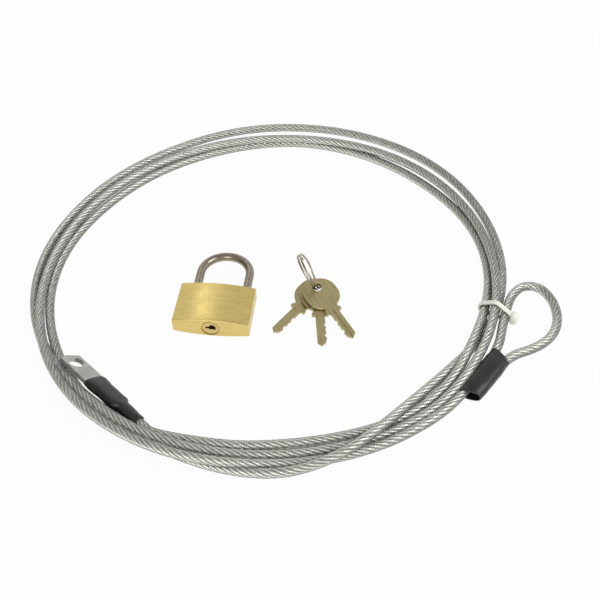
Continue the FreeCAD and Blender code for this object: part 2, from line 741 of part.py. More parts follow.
def make_ferrule():
    body = new_body("eye_ferrule")
    section = new_sketch(body, "ferrule_section", "YZ_Plane", S.ferrule_length / -2)
    add_oval(section, S.ferrule_width, S.ferrule_thickness)
    pad(body, "ferrule_block", section, S.ferrule_length)
    bores = new_sketch(body, "bore_circles", "YZ_Plane", S.ferrule_length / 2)
    for side in (1, -1):
        add_circle(bores, S.bore_spacing * (side / 2), ZERO, S.rope_diameter + S.bore_clearance)
    pocket(body, "bores", bores, S.ferrule_length)
    body.Placement = ferrule_placement()
    return body


def make_ferrule_cover():
    body = new_body("ferrule_cover")
    section = new_sketch(body, "sleeve_section", "YZ_Plane", S.eye_sleeve_length / -2)
    add_oval(section, eye_sleeve_width(), eye_sleeve_thickness())
    pad(body, "sleeve", section, S.eye_sleeve_length)
    inside = new_sketch(body, "sleeve_inside", "YZ_Plane", S.eye_sleeve_length / 2)
    add_oval(inside, S.ferrule_width + S.sleeve_gap * 2, S.ferrule_thickness + S.sleeve_gap * 2)
    pocket(body, "sleeve_way", inside, S.eye_sleeve_length)
    body.Placement = ferrule_placement()
    return body


def crossings(path, angle):
    """Distance from the coil's middle and height of each place where the rope passes the angle."""
    centre = Vector(float(S.coil_centre_x), float(S.coil_centre_y), 0)
    out = polar(angle)
    around = Vector(-out.y, out.x, 0)
    found = []
    for a, b in zip(path.spots, path.spots[1:]):
        a, b = a - centre, b - centre
        side_a, side_b = a.dot(around), b.dot(around)
        if side_a * side_b < 0 and a.dot(out) > 0:
            share = side_a / (side_a - side_b)
            spot = a + (b - a) * share
            found.append((spot.dot(out), spot.z))
    return sorted(found)


def make_tie(paths):
    """A flat band drawn round the three passes of the coil and the eye's near leg, and its head."""
    angle = float(S.tie_angle)
    ropes = crossings(paths["cable_coil"], angle)
    leg = crossings(paths["cable_eye"], angle)[0]
    top = max(ropes, key=lambda place: place[1])
    corners = [Vector(r, 0, z) for r, z in (ropes[0], top, leg)]
    plane = Part.Face(Part.makePolygon(corners + corners[:1]))
    inner = float(S.rope_diameter) / 2 + float(S.tie_gap)
    outer = inner + float(S.tie_thickness)
    loop = plane.makeOffset2D(outer).cut(plane.makeOffset2D(inner))
    width = float(S.tie_width)
    loop.translate(Vector(0, -width / 2, 0))
    band = loop.extrude(Vector(0, width, 0))
    depth, height, length = float(S.tie_head_depth), float(S.tie_head_height), float(S.tie_head_length)
    head = Part.makeBox(depth, length, height, Vector(leg[0] + inner, -length / 2, leg[1] - height / 2))
    head = head.makeFillet(float(S.tie_head_radius), head.Edges)
    tie = free_tube("cable_tie", band.fuse(head).removeSplitter())
    tie.Placement = Placement(Vector(float(S.coil_centre_x), float(S.coil_centre_y), 0),
                              Rotation(Z_AXIS, angle))
    return tie


# Padlock. Its frame: X across, Z from the lower face towards the shackle, -Y out of the front.

def padlock_placement():
    foot = Vector(float(S.padlock_x), float(S.padlock_y), float(S.body_thickness) / 2)
    return Placement(foot, Rotation(Z_AXIS, float(S.padlock_turn)) * Rotation(X_AXIS, -90))


HEEL_X = S.shackle_offset - S.leg_spacing / 2
TOE_X = S.shackle_offset + S.leg_spacing / 2
BOLT_Z = S.body_height - S.bolt_drop
LEG_BORE = S.shackle_diameter + S.run_gap
NECK_GAP = S.run_gap / 2
HEEL_PIN_X = HEEL_X + S.neck_diameter / 2 + NECK_GAP + S.heel_pin_diameter / 2
HEEL_END = S.body_height - S.heel_depth
TOE_END = S.body_height - S.toe_depth
NECK_END = HEEL_END + S.neck_foot
HEEL_PIN_Z = NECK_END + S.shackle_lift + S.heel_pin_diameter / 2 + S.lift_gap
TAIL_TOP = BOLT_Z - S.bolt_diameter / 2 - S.tail_gap
PLUG_TOP = TAIL_TOP - S.tail_length
GROOVE_Z = PLUG_TOP - S.groove_drop
PLUG_PIN_X = S.plug_diameter / -2 + S.groove_depth - NECK_GAP - S.plug_pin_diameter / 2
CAM_SPOT = S.bolt_travel / 2
TAIL_RADIUS = CAM_SPOT * math.sqrt(2) + S.cam_diameter / 2 + S.tail_gap
BOLT_NOSE = TOE_X - S.shackle_diameter / 2 + S.notch_depth - S.notch_gap
CHAMBER_END = S.body_width / 2 - S.chamber_cap_inset
CHAMBER_SPAN = S.chamber_pitch * (len(CUTS) - 1)


def make_padlock_body():
    body = new_body("padlock_body")
    half, edge = S.body_width / 2, S.edge_thickness / 2
    sagitta = (S.body_thickness - S.edge_thickness) / 2
    face_radius = (half * half + sagitta * sagitta) / (sagitta * 2)
    section = new_sketch(body, "body_section")
    add_outline(section, [(half, -edge, face_radius, False), (half, edge), (-half, edge, face_radius, False),
                          (-half, -edge)])
    block = pad(body, "block", section, S.body_height)
    dress("Fillet", body, "block_rounding", block, lambda edge: True, S.body_edge_radius)

    plug_bore = new_sketch(body, "plug_bore_circle", "XY_Plane")
    add_circle(plug_bore, ZERO, ZERO, S.plug_diameter + S.run_gap)
    pocket(body, "plug_bore", plug_bore, PLUG_TOP + S.run_gap, reverse=True)
    mouth = new_sketch(body, "mouth_circle", "XY_Plane")
    add_circle(mouth, -S.mouth_shift, S.mouth_shift, S.mouth_diameter)
    pocket(body, "mouth", mouth, S.mouth_depth, reverse=True)
    tail_bore = new_sketch(body, "tail_bore_circle", "XY_Plane")
    add_circle(tail_bore, ZERO, ZERO, TAIL_RADIUS * 2 + S.run_gap * 2)
    pocket(body, "tail_bore", tail_bore, BOLT_Z + S.bolt_diameter / 2, reverse=True)
    for name, x, depth in (("heel_bore", HEEL_X, S.heel_depth + S.heel_spring_length + S.run_gap),
                           ("toe_bore", TOE_X, S.toe_depth + S.toe_gap)):
        circle = new_sketch(body, f"{name}_circle", "XY_Plane", S.body_height)
        add_circle(circle, x, ZERO, LEG_BORE)
        pocket(body, name, circle, depth)
    bolt_bore = new_sketch(body, "bolt_bore_circle", "YZ_Plane", half)
    add_circle(bolt_bore, ZERO, BOLT_Z, S.bolt_diameter + S.run_gap)
    pocket(body, "bolt_bore", bolt_bore, half - S.bolt_bore_end)
    chamber = new_sketch(body, "chamber_circle", "YZ_Plane", half)
    add_circle(chamber, ZERO, S.first_chamber, S.chamber_diameter)
    first = pocket(body, "first_chamber_bore", chamber, half - S.plug_diameter / 2 + S.groove_depth)
    row_along(body, "chambers", first, "Z_Axis", CHAMBER_SPAN, len(CUTS))
    for name, x, z, diameter in (("heel_pin_hole", HEEL_PIN_X, HEEL_PIN_Z, S.heel_pin_diameter),
                                 ("plug_pin_hole", PLUG_PIN_X, GROOVE_Z, S.plug_pin_diameter)):
        circle = new_sketch(body, f"{name}_circle", "XZ_Plane", S.body_thickness / -2)
        add_circle(circle, x, z, diameter)
        pocket(body, name, circle, S.pin_depth, reverse=True)
    return body


def make_shackle():
    body = new_body("shackle")
    rise = S.body_height + S.shackle_rise
    path = new_sketch(body, "shackle_path", "XZ_Plane")
    radius = S.leg_spacing / 2
    x0, x1 = float(HEEL_X), float(TOE_X)
    low, top, toe = float(HEEL_END), float(rise), float(TOE_END)
    heel = path.addGeometry(Part.LineSegment(Vector(x0, low, 0), Vector(x0, top, 0)))
    arch = path.addGeometry(Part.Arc(Vector(x0, top, 0), Vector((x0 + x1) / 2, top + float(radius), 0),
                                     Vector(x1, top, 0)))
    leg = path.addGeometry(Part.LineSegment(Vector(x1, top, 0), Vector(x1, toe, 0)))
    path.addConstraint(Sketcher.Constraint("Tangent", heel, 2, arch, 2))
    path.addConstraint(Sketcher.Constraint("Tangent", leg, 1, arch, 1))
    path.addConstraint(Sketcher.Constraint("Vertical", heel))
    path.addConstraint(Sketcher.Constraint("Vertical", leg))
    tie_down(path, "DistanceX", (-1, 1, heel, 1), HEEL_X)
    tie_down(path, "DistanceY", (-1, 1, heel, 1), HEEL_END)
    tie_down(path, "DistanceY", (-1, 1, heel, 2), rise)
    tie_down(path, "Radius", (arch,), radius)
    tie_down(path, "DistanceY", (-1, 1, leg, 2), TOE_END)
    section = new_sketch(body, "shackle_section", "XY_Plane", HEEL_END)
    add_circle(section, HEEL_X, ZERO, S.shackle_diameter)
    bow = body.newObject("PartDesign::AdditivePipe", "bow")
    bow.Profile = section
    bow.Spine = (path, ["Edge1", "Edge2", "Edge3"])
    doc.recompute()

    def toe_tip(edge):
        box = edge.BoundBox
        return box.ZMax < float(TOE_END) + SAME_PLACE and box.XMin > float(S.shackle_offset)

    dress("Chamfer", body, "toe_chamfer", bow, toe_tip, S.toe_chamfer)
    neck = new_sketch(body, "neck_ring", "XY_Plane", NECK_END)
    add_circle(neck, HEEL_X, ZERO, S.shackle_diameter + S.overrun * 2)
    add_circle(neck, HEEL_X, ZERO, S.neck_diameter)
    pocket(body, "neck", neck, S.shackle_lift + S.heel_pin_diameter + S.lift_gap * 2, reverse=True)
    notch = new_sketch(body, "notch_outline", "XZ_Plane", S.shackle_diameter / -2)
    inner = TOE_X - S.shackle_diameter / 2
    floor, outside = inner + S.notch_depth, inner - S.overrun
    reach = S.bolt_diameter / 2 + S.notch_gap
    low_edge, high_edge = BOLT_Z - reach, BOLT_Z + reach
    ramp = S.shackle_lift / S.bolt_travel
    add_outline(notch, [(outside, low_edge - (S.notch_depth + S.overrun) * ramp), (floor, low_edge),
                        (floor, high_edge), (outside, high_edge)])
    pocket(body, "notch", notch, S.shackle_diameter, reverse=True)
    return body


def make_bolt():
    body = bar("lock_bolt", "YZ_Plane", S.bolt_tail, BOLT_NOSE - S.bolt_tail, S.bolt_diameter, ZERO, BOLT_Z)
    slot = new_sketch(body, "cam_slot_outline", "XY_Plane", BOLT_Z + S.bolt_diameter)
    half = S.cam_diameter / 2 + S.cam_gap
    add_box(slot, CAM_SPOT - half, CAM_SPOT + half, CAM_SPOT - half, CAM_SPOT + S.bolt_diameter)
    pocket(body, "cam_slot", slot, S.bolt_diameter * 2)
    return body


def make_plug():
    body = new_body("key_plug")
    barrel = new_sketch(body, "plug_circle", "XY_Plane", S.plug_inset, turn=PLUG_SEAM)
    add_circle(barrel, ZERO, ZERO, S.plug_diameter)
    pad(body, "plug_barrel", barrel, PLUG_TOP - S.plug_inset)
    tail = new_sketch(body, "tail_circle", "XY_Plane", PLUG_TOP)
    add_circle(tail, ZERO, ZERO, TAIL_RADIUS * 2)
    pad(body, "plug_tail", tail, S.tail_length)
    cam = new_sketch(body, "cam_circle", "XY_Plane", TAIL_TOP)
    add_circle(cam, CAM_SPOT, CAM_SPOT, S.cam_diameter)
    pad(body, "cam_pin", cam, S.cam_length)
    keyway = new_sketch(body, "keyway_outline", "XY_Plane", S.plug_inset)
    half, side = S.keyway_width / 2, S.keyway_thickness / 2
    low = -(side + S.keyway_hump)
    foot, start, end = (half * share for share in HUMP_SHARES)
    slot_end = S.step_width - S.blade_width / 2 - S.run_gap
    slot_side = S.key_thickness / 2 - S.step_depth + S.run_gap / 2
    add_outline(keyway, [(-half, slot_side), (-half, -side), (foot, -side), (start, low), (end, low),
                         (half, -side), (half, side), (slot_end, side), (slot_end, slot_side)])
    pocket(body, "keyway", keyway, PLUG_TOP - S.plug_inset - S.keyway_floor, reverse=True)
    groove = new_sketch(body, "groove_ring", "XY_Plane", GROOVE_Z - S.groove_width / 2)
    add_circle(groove, ZERO, ZERO, S.plug_diameter + S.overrun * 2)
    add_circle(groove, ZERO, ZERO, S.plug_diameter - S.groove_depth * 2)
    pocket(body, "groove", groove, S.groove_width, reverse=True)
    chamber = new_sketch(body, "chamber_circle", "YZ_Plane", S.plug_diameter / 2 + S.overrun)
    add_circle(chamber, ZERO, S.first_chamber, S.chamber_diameter)
    first = pocket(body, "first_chamber_bore", chamber, S.plug_diameter / 2 + S.overrun - S.chamber_floor)
    row_along(body, "chambers", first, "Z_Axis", CHAMBER_SPAN, len(CUTS))
    return body


def make_padlock():
    """The padlock's pieces, each drawn in the padlock's frame."""
    pieces = [make_padlock_body(), make_shackle(), make_bolt(), make_plug()]
    pieces.append(bar("bolt_bore_plug", "YZ_Plane", CHAMBER_END - S.bolt_cap_length, S.bolt_cap_length,
                      S.bolt_diameter + S.run_gap - S.press_gap, ZERO, BOLT_Z))
    for name, x, z, diameter in (("heel_pin", HEEL_PIN_X, HEEL_PIN_Z, S.heel_pin_diameter),
                                 ("plug_pin", PLUG_PIN_X, GROOVE_Z, S.plug_pin_diameter)):
        pieces.append(bar(name, "XZ_Plane", S.body_thickness / -2 + S.pin_inset,
                          S.pin_depth - S.pin_inset, diameter - S.press_gap, x, z))
    pin = S.chamber_diameter - S.run_gap
    spring_start = S.driver_start + S.driver_length
    caps = new_body("chamber_plugs")
    for i, cut in enumerate(CUTS):
        height = S.first_chamber + S.chamber_pitch * i
        cut_floor = S.blade_width / 2 - cut
        seat = Vector(float(spring_start), 0, float(height))
        for name, start, length in ((f"key_pin_{i + 1}", cut_floor, S.key_pin_end - cut_floor),
                                    (f"driver_pin_{i + 1}", S.driver_start, S.driver_length)):
            pieces.append(bar(name, "YZ_Plane", start, length, pin, ZERO, height))
        pieces.append(spring(f"pin_spring_{i + 1}", seat, X_AXIS, Z_AXIS, S.pin_spring_length,
                             S.pin_spring_diameter, S.pin_spring_wire, PIN_SPRING_TURNS))
    cap_start = spring_start + S.pin_spring_length
    circle = new_sketch(caps, "cap_circles", "YZ_Plane", cap_start)
    for i in range(len(CUTS)):
        add_circle(circle, ZERO, S.first_chamber + S.chamber_pitch * i, S.chamber_diameter - S.press_gap)
    pad(caps, "caps", circle, CHAMBER_END - cap_start)
    pieces.append(caps)
    seat = Vector(float(HEEL_X), 0, float(HEEL_END - S.heel_spring_length))
    pieces.append(spring("shackle_spring", seat, Z_AXIS, X_AXIS, S.heel_spring_length, S.heel_spring_diameter,
                         S.heel_spring_wire, HEEL_SPRING_TURNS))
    seat = Vector(float(S.bolt_bore_end), 0, float(BOLT_Z))
    pieces.append(spring("bolt_spring", seat, X_AXIS, Z_AXIS, S.bolt_tail - S.bolt_bore_end,
                         S.bolt_spring_diameter, S.bolt_spring_wire, BOLT_SPRING_TURNS))
    for piece in pieces:
        piece.Placement = padlock_placement()
    return pieces


# Ring and keys

def ring_frame():
    """Where the ring's lowest point stands, its direction on the table, its up and its normal."""
    heading = polar(float(S.ring_heading))
    lean = math.radians(float(S.ring_lean))
    side = Vector(-heading.y, heading.x, 0)
    up = Z_AXIS * math.cos(lean) + side * math.sin(lean)
    normal = heading.cross(up)
    height = float(S.ring_wire) / 2 + float(S.ring_pitch) / 2 * abs(normal.z) + float(S.table_gap)
    return Vector(float(S.ring_x), float(S.ring_y), height), heading, up, normal


def ring_passing(height):
    """Where the ring's middle passes a height, on the side of the keys."""
    foot, heading, up, _ = ring_frame()
    rise = (height - foot.z) / up.z
    radius = float(S.ring_radius)
    return foot + up * rise - heading * math.sqrt(radius * radius - (radius - rise) ** 2)


def make_ring():
    """Two windings side by side, with one quarter turn that crosses from the first to the second."""
    foot, heading, up, normal = ring_frame()
    radius, pitch = float(S.ring_radius), float(S.ring_pitch)
    centre = foot + up * radius
    path = None
    for step in range(RING_QUARTERS):
        angle = math.radians(90 * step)
        out = heading * math.cos(angle) + up * math.sin(angle)
        around = up * math.cos(angle) - heading * math.sin(angle)
        spot = centre + out * radius + normal * (pitch / 2 if step >= RING_QUARTERS / 2 else pitch / -2)
        if path is None:
            path = Path(spot)
        else:
            path.swing(way, spot, around)
        way = around
    room, _ = path.least_gap(float(S.ring_wire), 4 * radius)
    print(f"key_ring: least gap to itself {room:.2f} mm")
    return free_tube("key_ring", path.tube(float(S.ring_wire)))


def stack_rotation():
    """The slope of the stacked keys."""
    down = polar(float(S.stack_heading))
    return Rotation(Vector(-down.y, down.x, 0), float(S.stack_tilt))


def key_placement(index):
    height = float(S.first_key_height) + index * float(S.key_thickness + S.key_gap)
    turn = Rotation(Z_AXIS, KEY_HEADINGS[index])
    flip = Rotation(X_AXIS, 180 if KEY_FLIPPED[index] else 0)
    return Placement(ring_passing(height), stack_rotation() * turn * flip)


def make_key(index):
    """Frame of a key: origin in its hole's middle, X towards the tip, cuts on the +Y side."""
    body = new_body(f"key_{index + 1}")
    thick = S.key_thickness
    bow_end = S.bow_length - S.key_hole_inset
    radius = S.bow_width / 2
    bow = new_sketch(body, "bow_outline", "XY_Plane", thick / -2)
    add_stadium(bow, radius - S.key_hole_inset, bow_end - radius, radius)
    add_circle(bow, ZERO, ZERO, S.key_hole_diameter)
    plate = pad(body, "bow", bow, thick)
    dress("Chamfer", body, "bow_edge", plate, lambda edge: edge.BoundBox.ZLength < SAME_PLACE, S.key_edge)
    neck_end = bow_end + S.neck_length
    stop = neck_end + S.shoulder_length
    tip = stop + S.blade_length
    back = S.blade_width / 2
    for name, start, end, width in (("neck", bow_end - S.neck_start, neck_end + S.overrun, S.neck_width),
                                    ("shoulder", neck_end, stop, S.shoulder_width)):
        sketch = new_sketch(body, f"{name}_outline", "XY_Plane", thick / -2)
        add_box(sketch, start, end, width / -2, width / 2)
        pad(body, name, sketch, thick)
    edge = [(stop - S.overrun, -back), (tip - S.blade_tip, -back), (tip, back * POINT_SHARE),
            (tip - S.blade_tip, back * CORNER_SHARE)]
    for i, cut in reversed(list(enumerate(CUTS))):
        middle = stop + S.first_chamber - S.plug_inset + S.chamber_pitch * i
        edge += [(middle + S.chamber_pitch / 2, back - S.peak_drop), (middle + S.cut_width / 2, back - cut),
                 (middle - S.cut_width / 2, back - cut)]
    edge.append((stop - S.overrun, back))
    blade = new_sketch(body, "blade_outline", "XY_Plane", thick / -2)
    add_outline(blade, edge)
    pad(body, "blade", blade, thick)
    step = new_sketch(body, "step_outline", "XY_Plane", thick / 2)
    add_box(step, stop, tip + S.overrun, -back - S.overrun, S.step_width - back)
    pocket(body, "blade_step", step, S.step_depth)
    groove = new_sketch(body, "groove_outline", "XY_Plane", thick / -2)
    low, high = (S.blade_groove_offset + S.blade_groove_width * (side / 2) for side in (-1, 1))
    add_box(groove, stop - S.overrun, tip + S.overrun, low, high)
    pocket(body, "blade_groove", groove, S.blade_groove_depth, reverse=True)
    body.Placement = key_placement(index)
    return body


# Together

def main():
    paths = make_rope()
    fittings = [make_lug(), make_lug_cover(), make_ferrule(), make_ferrule_cover(), make_tie(paths)]
    loose = make_padlock() + [make_ring()] + [make_key(i) for i in range(len(KEY_HEADINGS))]
    doc.recompute()
    pieces = [doc.getObject("cable_coil"), doc.getObject("cable_eye")] + fittings + loose

    box = FreeCAD.BoundBox()
    for piece in loose:
        box.add(piece.Shape.optimalBoundingBox(False, False))
    shift = Placement(Vector(-box.Center.x, -box.Center.y, -box.ZMin), Rotation())
    print(f"shift to the origin {shift.Base.x:.4f}, {shift.Base.y:.4f}, {shift.Base.z:.4f}")
    for piece in pieces:
        piece.Placement = shift * piece.Placement
    doc.recompute()

    for item in doc.Objects:
        if any(word in item.State for word in ("Invalid", "Error")):
            raise ValueError(f"{item.Name} failed: {item.State}")
    for piece in pieces:
        if piece.Shape.isNull() or not piece.Shape.isValid() or not piece.Shape.Solids:
            raise ValueError(f"{piece.Label} has no valid solid")
    os.makedirs("parts", exist_ok=True)
    for piece in pieces:
        piece.Shape.exportStep(f"parts/{piece.Label}.step")
    print(len(pieces), "pieces")


main()
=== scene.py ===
"""Looks of a laptop cable lock: a coated wire rope with a lug and an eye, a brass padlock and three keys."""
import logging
import math
from dataclasses import dataclass
from enum import Enum

import bmesh
import bpy
import numpy as np
from mathutils import Matrix, Vector


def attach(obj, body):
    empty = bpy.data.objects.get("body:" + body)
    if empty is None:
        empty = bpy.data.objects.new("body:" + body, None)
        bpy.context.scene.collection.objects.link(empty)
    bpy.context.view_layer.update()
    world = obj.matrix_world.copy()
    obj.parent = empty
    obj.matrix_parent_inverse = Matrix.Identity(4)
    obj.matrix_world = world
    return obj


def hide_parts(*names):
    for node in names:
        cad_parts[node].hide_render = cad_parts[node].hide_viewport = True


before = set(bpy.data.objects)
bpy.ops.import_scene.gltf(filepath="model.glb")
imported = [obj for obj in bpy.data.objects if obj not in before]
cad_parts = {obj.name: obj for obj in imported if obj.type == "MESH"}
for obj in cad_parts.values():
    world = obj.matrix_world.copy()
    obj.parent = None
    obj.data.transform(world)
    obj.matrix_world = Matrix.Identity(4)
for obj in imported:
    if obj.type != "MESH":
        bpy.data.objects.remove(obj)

log = logging.getLogger("cable_lock")

MM = 0.001
FULL_TURN = 2 * math.pi
METAL = 1.0

Triple = tuple[float, float, float]
Rings = list[np.ndarray]
Faces = list[tuple[int, ...]]


def layout_shift() -> Vector:
    """The step from the layout, drawn round the coil, to the frame, found at the ferrule's sleeve.

    Returns:
        The step in millimetres.
    """
    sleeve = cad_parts["ferrule_cover"]
    corners = [sleeve.matrix_world @ Vector(corner) for corner in sleeve.bound_box]
    middle = sum(corners, Vector()) / len(corners) / MM
    return Vector((middle.x - SOLID_FERRULE[0], middle.y - SOLID_FERRULE[1], 0.0))


# Where the layout has the middle of the solid ferrule. The visual one lies a little beside it, see EyeSizes.
SOLID_FERRULE = (75.8, -44.7)
LAYOUT_TO_FRAME = layout_shift()
EYE_POINT = Vector((0.0, -250.82, 268.97))
LUG_MOUTH = (-61.4, -67.9, 4.3)
LUG_HEADING = -43.9
# Degrees by which the brushing turns with the padlock, and each key's direction on the table.
PADLOCK_TURN = 6.0
KEY_HEADINGS = (231.0, 273.0, 298.5)


def spot(x: float, y: float, z: float) -> Vector:
    """A layout point in millimetres as a point of the frame in metres."""
    return (Vector((x, y, z)) + LAYOUT_TO_FRAME) * MM


def add_object(name: str, data: bpy.types.ID) -> bpy.types.Object:
    """Makes an object from its data and puts it in the scene.

    Args:
        name: The object's name.
        data: Its mesh, curve, light or camera.

    Returns:
        The new object.
    """
    made = bpy.data.objects.new(name, data)
    bpy.context.scene.collection.objects.link(made)
    return made


def polar(degrees: float) -> Vector:
    """The direction on the table at this many degrees from +X."""
    return Vector((math.cos(math.radians(degrees)), math.sin(math.radians(degrees)), 0.0))


# ---- Shader graphs

class Graph:
    """A node tree with short calls to add and join nodes."""

    def __init__(self, tree: bpy.types.NodeTree) -> None:
        """Keeps the tree that the nodes go into."""
        self.tree = tree

    def node(self, kind: str, **settings: object) -> bpy.types.Node:
        """Adds a node.

        Args:
            kind: Blender's name of the node, without its ShaderNode prefix.
            settings: Properties to set on it.

        Returns:
            The new node.
        """
        made = self.tree.nodes.new("ShaderNode" + kind)
        for name, value in settings.items():
            setattr(made, name, value)
        return made

    def feed(self, value: object, socket: bpy.types.NodeSocket) -> None:
        """Links an output to a socket, or sets the socket's own value.

        Args:
            value: An output socket, or a plain value.
            socket: The input that takes it.
        """
        if isinstance(value, bpy.types.NodeSocket):
            self.tree.links.new(value, socket)
        elif isinstance(value, (tuple, list)) and len(value) == 3 and socket.type == "RGBA":
            socket.default_value = (*value, 1.0)
        else:
            socket.default_value = value

    def math(self, operation: str, *values: object) -> bpy.types.NodeSocket:
        """A Math node over the values, and its result.

        Args:
            operation: Blender's name of the operation.
            values: Its inputs in order.

        Returns:
            The result.
        """
        made = self.node("Math", operation=operation)
        for value, socket in zip(values, made.inputs):
            self.feed(value, socket)
        return made.outputs[0]

    def mix(self, share: object, low: object, high: object) -> bpy.types.NodeSocket:
        """A colour between low and high.

        Args:
            share: How much of high there is, 0 to 1.
            low: The colour at 0.
            high: The colour at 1.

        Returns:
            The colour.
        """
        made = self.node("MixRGB")
        for value, socket in zip((share, low, high), made.inputs):
            self.feed(value, socket)
        return made.outputs[0]

    def span(self, value: object, given: tuple[object, object],
             to: tuple[object, object]) -> bpy.types.NodeSocket:
        """Maps a value from one range to another, held to its ends.

        Args:
            value: What is mapped.
            given: The range it comes from.
            to: The range it goes to.

        Returns:
            The mapped value.
        """
        made = self.node("MapRange")
        for number, socket in zip((value, *given, *to), made.inputs):
            self.feed(number, socket)
        return made.outputs[0]

    def noise(self, vector: object, scale: object, detail: float = 2.0) -> bpy.types.NodeSocket:
        """A noise pattern's value.

        Args:
            vector: Coordinates.
            scale: How fine the pattern is.
            detail: How many finer layers it has.

        Returns:
            The pattern's value.
        """
        made = self.node("TexNoise")
        self.feed(vector, made.inputs["Vector"])
        self.feed(scale, made.inputs["Scale"])
        made.inputs["Detail"].default_value = detail
        return made.outputs[0]

    def placed(self, vector: object, turn: object = (0.0, 0.0, 0.0),
               scale: object = (1.0, 1.0, 1.0)) -> bpy.types.NodeSocket:
        """Coordinates turned and scaled.

        Args:
            vector: Coordinates.
            turn: Angles about X, Y and Z.
            scale: Factors along X, Y and Z.

        Returns:
            The new coordinates.
        """
        made = self.node("Mapping")
        self.feed(vector, made.inputs["Vector"])
        self.feed(turn, made.inputs["Rotation"])
        self.feed(scale, made.inputs["Scale"])
        return made.outputs[0]

    def bump(self, height: object, strength: object, depth: float) -> bpy.types.NodeSocket:
        """A normal from a height in 0 to 1 over a depth in metres.

        Args:
            height: The height.
            strength: How much of it shows.
            depth: What a height of 1 stands for.

        Returns:
            The normal.
        """
        made = self.node("Bump")
        self.feed(strength, made.inputs["Strength"])
        made.inputs["Distance"].default_value = depth
        self.feed(height, made.inputs["Height"])
        return made.outputs[0]

    def blend(self, share: object, first: bpy.types.NodeSocket,
              second: bpy.types.NodeSocket) -> bpy.types.NodeSocket:
        """A mix of two shaders.

        Args:
            share: How much of the second there is, 0 to 1.
            first: The shader at 0.
            second: The shader at 1.

        Returns:
            The mixed shader.
        """
        made = self.node("MixShader")
        for value, socket in zip((share, first, second), made.inputs):
            self.feed(value, socket)
        return made.outputs[0]

    def use(self, tree: bpy.types.NodeTree, **values: object) -> bpy.types.Node:
        """Places a node group, and sets or links its inputs by name.

        Args:
            tree: The group.
            values: Input name to a socket or value.

        Returns:
            The group's node.
        """
        made = self.node("Group", node_tree=tree)
        for name, value in values.items():
            self.feed(value, made.inputs[name])
        return made


@dataclass
class Effect:
    """A shader node group under construction."""

    graph: Graph
    inputs: bpy.types.Node
    outputs: bpy.types.Node

    @classmethod
    def start(cls, name: str, inputs: dict[str, tuple[str, object]], outputs: dict[str, str]) -> "Effect":
        """Makes a group with its sockets.

        Args:
            name: The group's name.
            inputs: Socket name to its kind and default value.
            outputs: Socket name to its kind.

        Returns:
            The empty group.
        """
        tree = bpy.data.node_groups.new(name, "ShaderNodeTree")
        for label, (kind, value) in inputs.items():
            socket = tree.interface.new_socket(label, in_out="INPUT", socket_type="NodeSocket" + kind)
            if value is not None:
                socket.default_value = value
        for label, kind in outputs.items():
            tree.interface.new_socket(label, in_out="OUTPUT", socket_type="NodeSocket" + kind)
        return cls(Graph(tree), tree.nodes.new("NodeGroupInput"), tree.nodes.new("NodeGroupOutput"))

    def take(self, name: str) -> bpy.types.NodeSocket:
        """An input of the group, inside it."""
        return self.inputs.outputs[name]

    def give(self, **values: object) -> bpy.types.NodeTree:
        """Feeds the outputs by name, and returns the finished tree.

        Args:
            values: Output name to its socket.

        Returns:
            The group's tree.
        """
        for name, value in values.items():
            self.graph.feed(value, self.outputs.inputs[name])
        return self.graph.tree


class Effects:
    """The node groups that more than one finish uses."""

    def __init__(self) -> None:
        """Builds each group once."""
        self.grain = self.build_grain()
        self.mottle = self.build_mottle()
        self.smudge = self.build_smudge()

    @staticmethod
    def build_grain() -> bpy.types.NodeTree:
        """Brushed lines along X of the given coordinates: fine hairs over broader streaks.

        Returns:
            The group: Value for tone and Height for relief.
        """
        effect = Effect.start("brushed_grain", {
            "Vector": ("Vector", None), "Hairs": ("Float", 9000.0), "Streaks": ("Float", 900.0),
            "Length": ("Float", 0.03)}, {"Value": "Float", "Height": "Float"})
        graph = effect.graph
        squeeze = graph.node("CombineXYZ")
        graph.feed(effect.take("Length"), squeeze.inputs[0])
        for socket in squeeze.inputs[1:]:
            socket.default_value = 1.0
        drawn = graph.placed(effect.take("Vector"), scale=squeeze.outputs[0])
        hairs = graph.noise(drawn, effect.take("Hairs"), 3.0)
        streaks = graph.noise(drawn, effect.take("Streaks"), 2.0)
        value = graph.math("ADD", graph.math("MULTIPLY", hairs, 0.6), graph.math("MULTIPLY", streaks, 0.4))
        return effect.give(Value=graph.span(value, (0.32, 0.68), (0.0, 1.0)), Height=hairs)

    @staticmethod
    def build_mottle() -> bpy.types.NodeTree:
        """Soft patches with a fine speckle in them.

        Returns:
            The group: Value for tone and Height for relief.
        """
        effect = Effect.start("mottle", {
            "Vector": ("Vector", None), "Patches": ("Float", 260.0), "Speckle": ("Float", 3200.0)},
            {"Value": "Float", "Height": "Float"})
        graph = effect.graph
        patches = graph.noise(effect.take("Vector"), effect.take("Patches"), 4.0)
        speckle = graph.noise(effect.take("Vector"), effect.take("Speckle"), 2.0)
        value = graph.math("ADD", graph.math("MULTIPLY", patches, 0.7), graph.math("MULTIPLY", speckle, 0.3))
        return effect.give(Value=graph.span(value, (0.35, 0.65), (0.0, 1.0)), Height=speckle)

    @staticmethod
    def build_smudge() -> bpy.types.NodeTree:
        """Slow changes of gloss, as handling leaves them.

        Returns:
            The group: Roughness between Low and High.
        """
        effect = Effect.start("smudge", {
            "Vector": ("Vector", None), "Size": ("Float", 120.0),
            "Low": ("Float", 0.2), "High": ("Float", 0.4)}, {"Roughness": "Float"})
        graph = effect.graph
        cloud = graph.noise(effect.take("Vector"), effect.take("Size"), 3.0)
        limits = (effect.take("Low"), effect.take("High"))
        return effect.give(Roughness=graph.span(cloud, (0.35, 0.65), limits))


# ---- Finishes

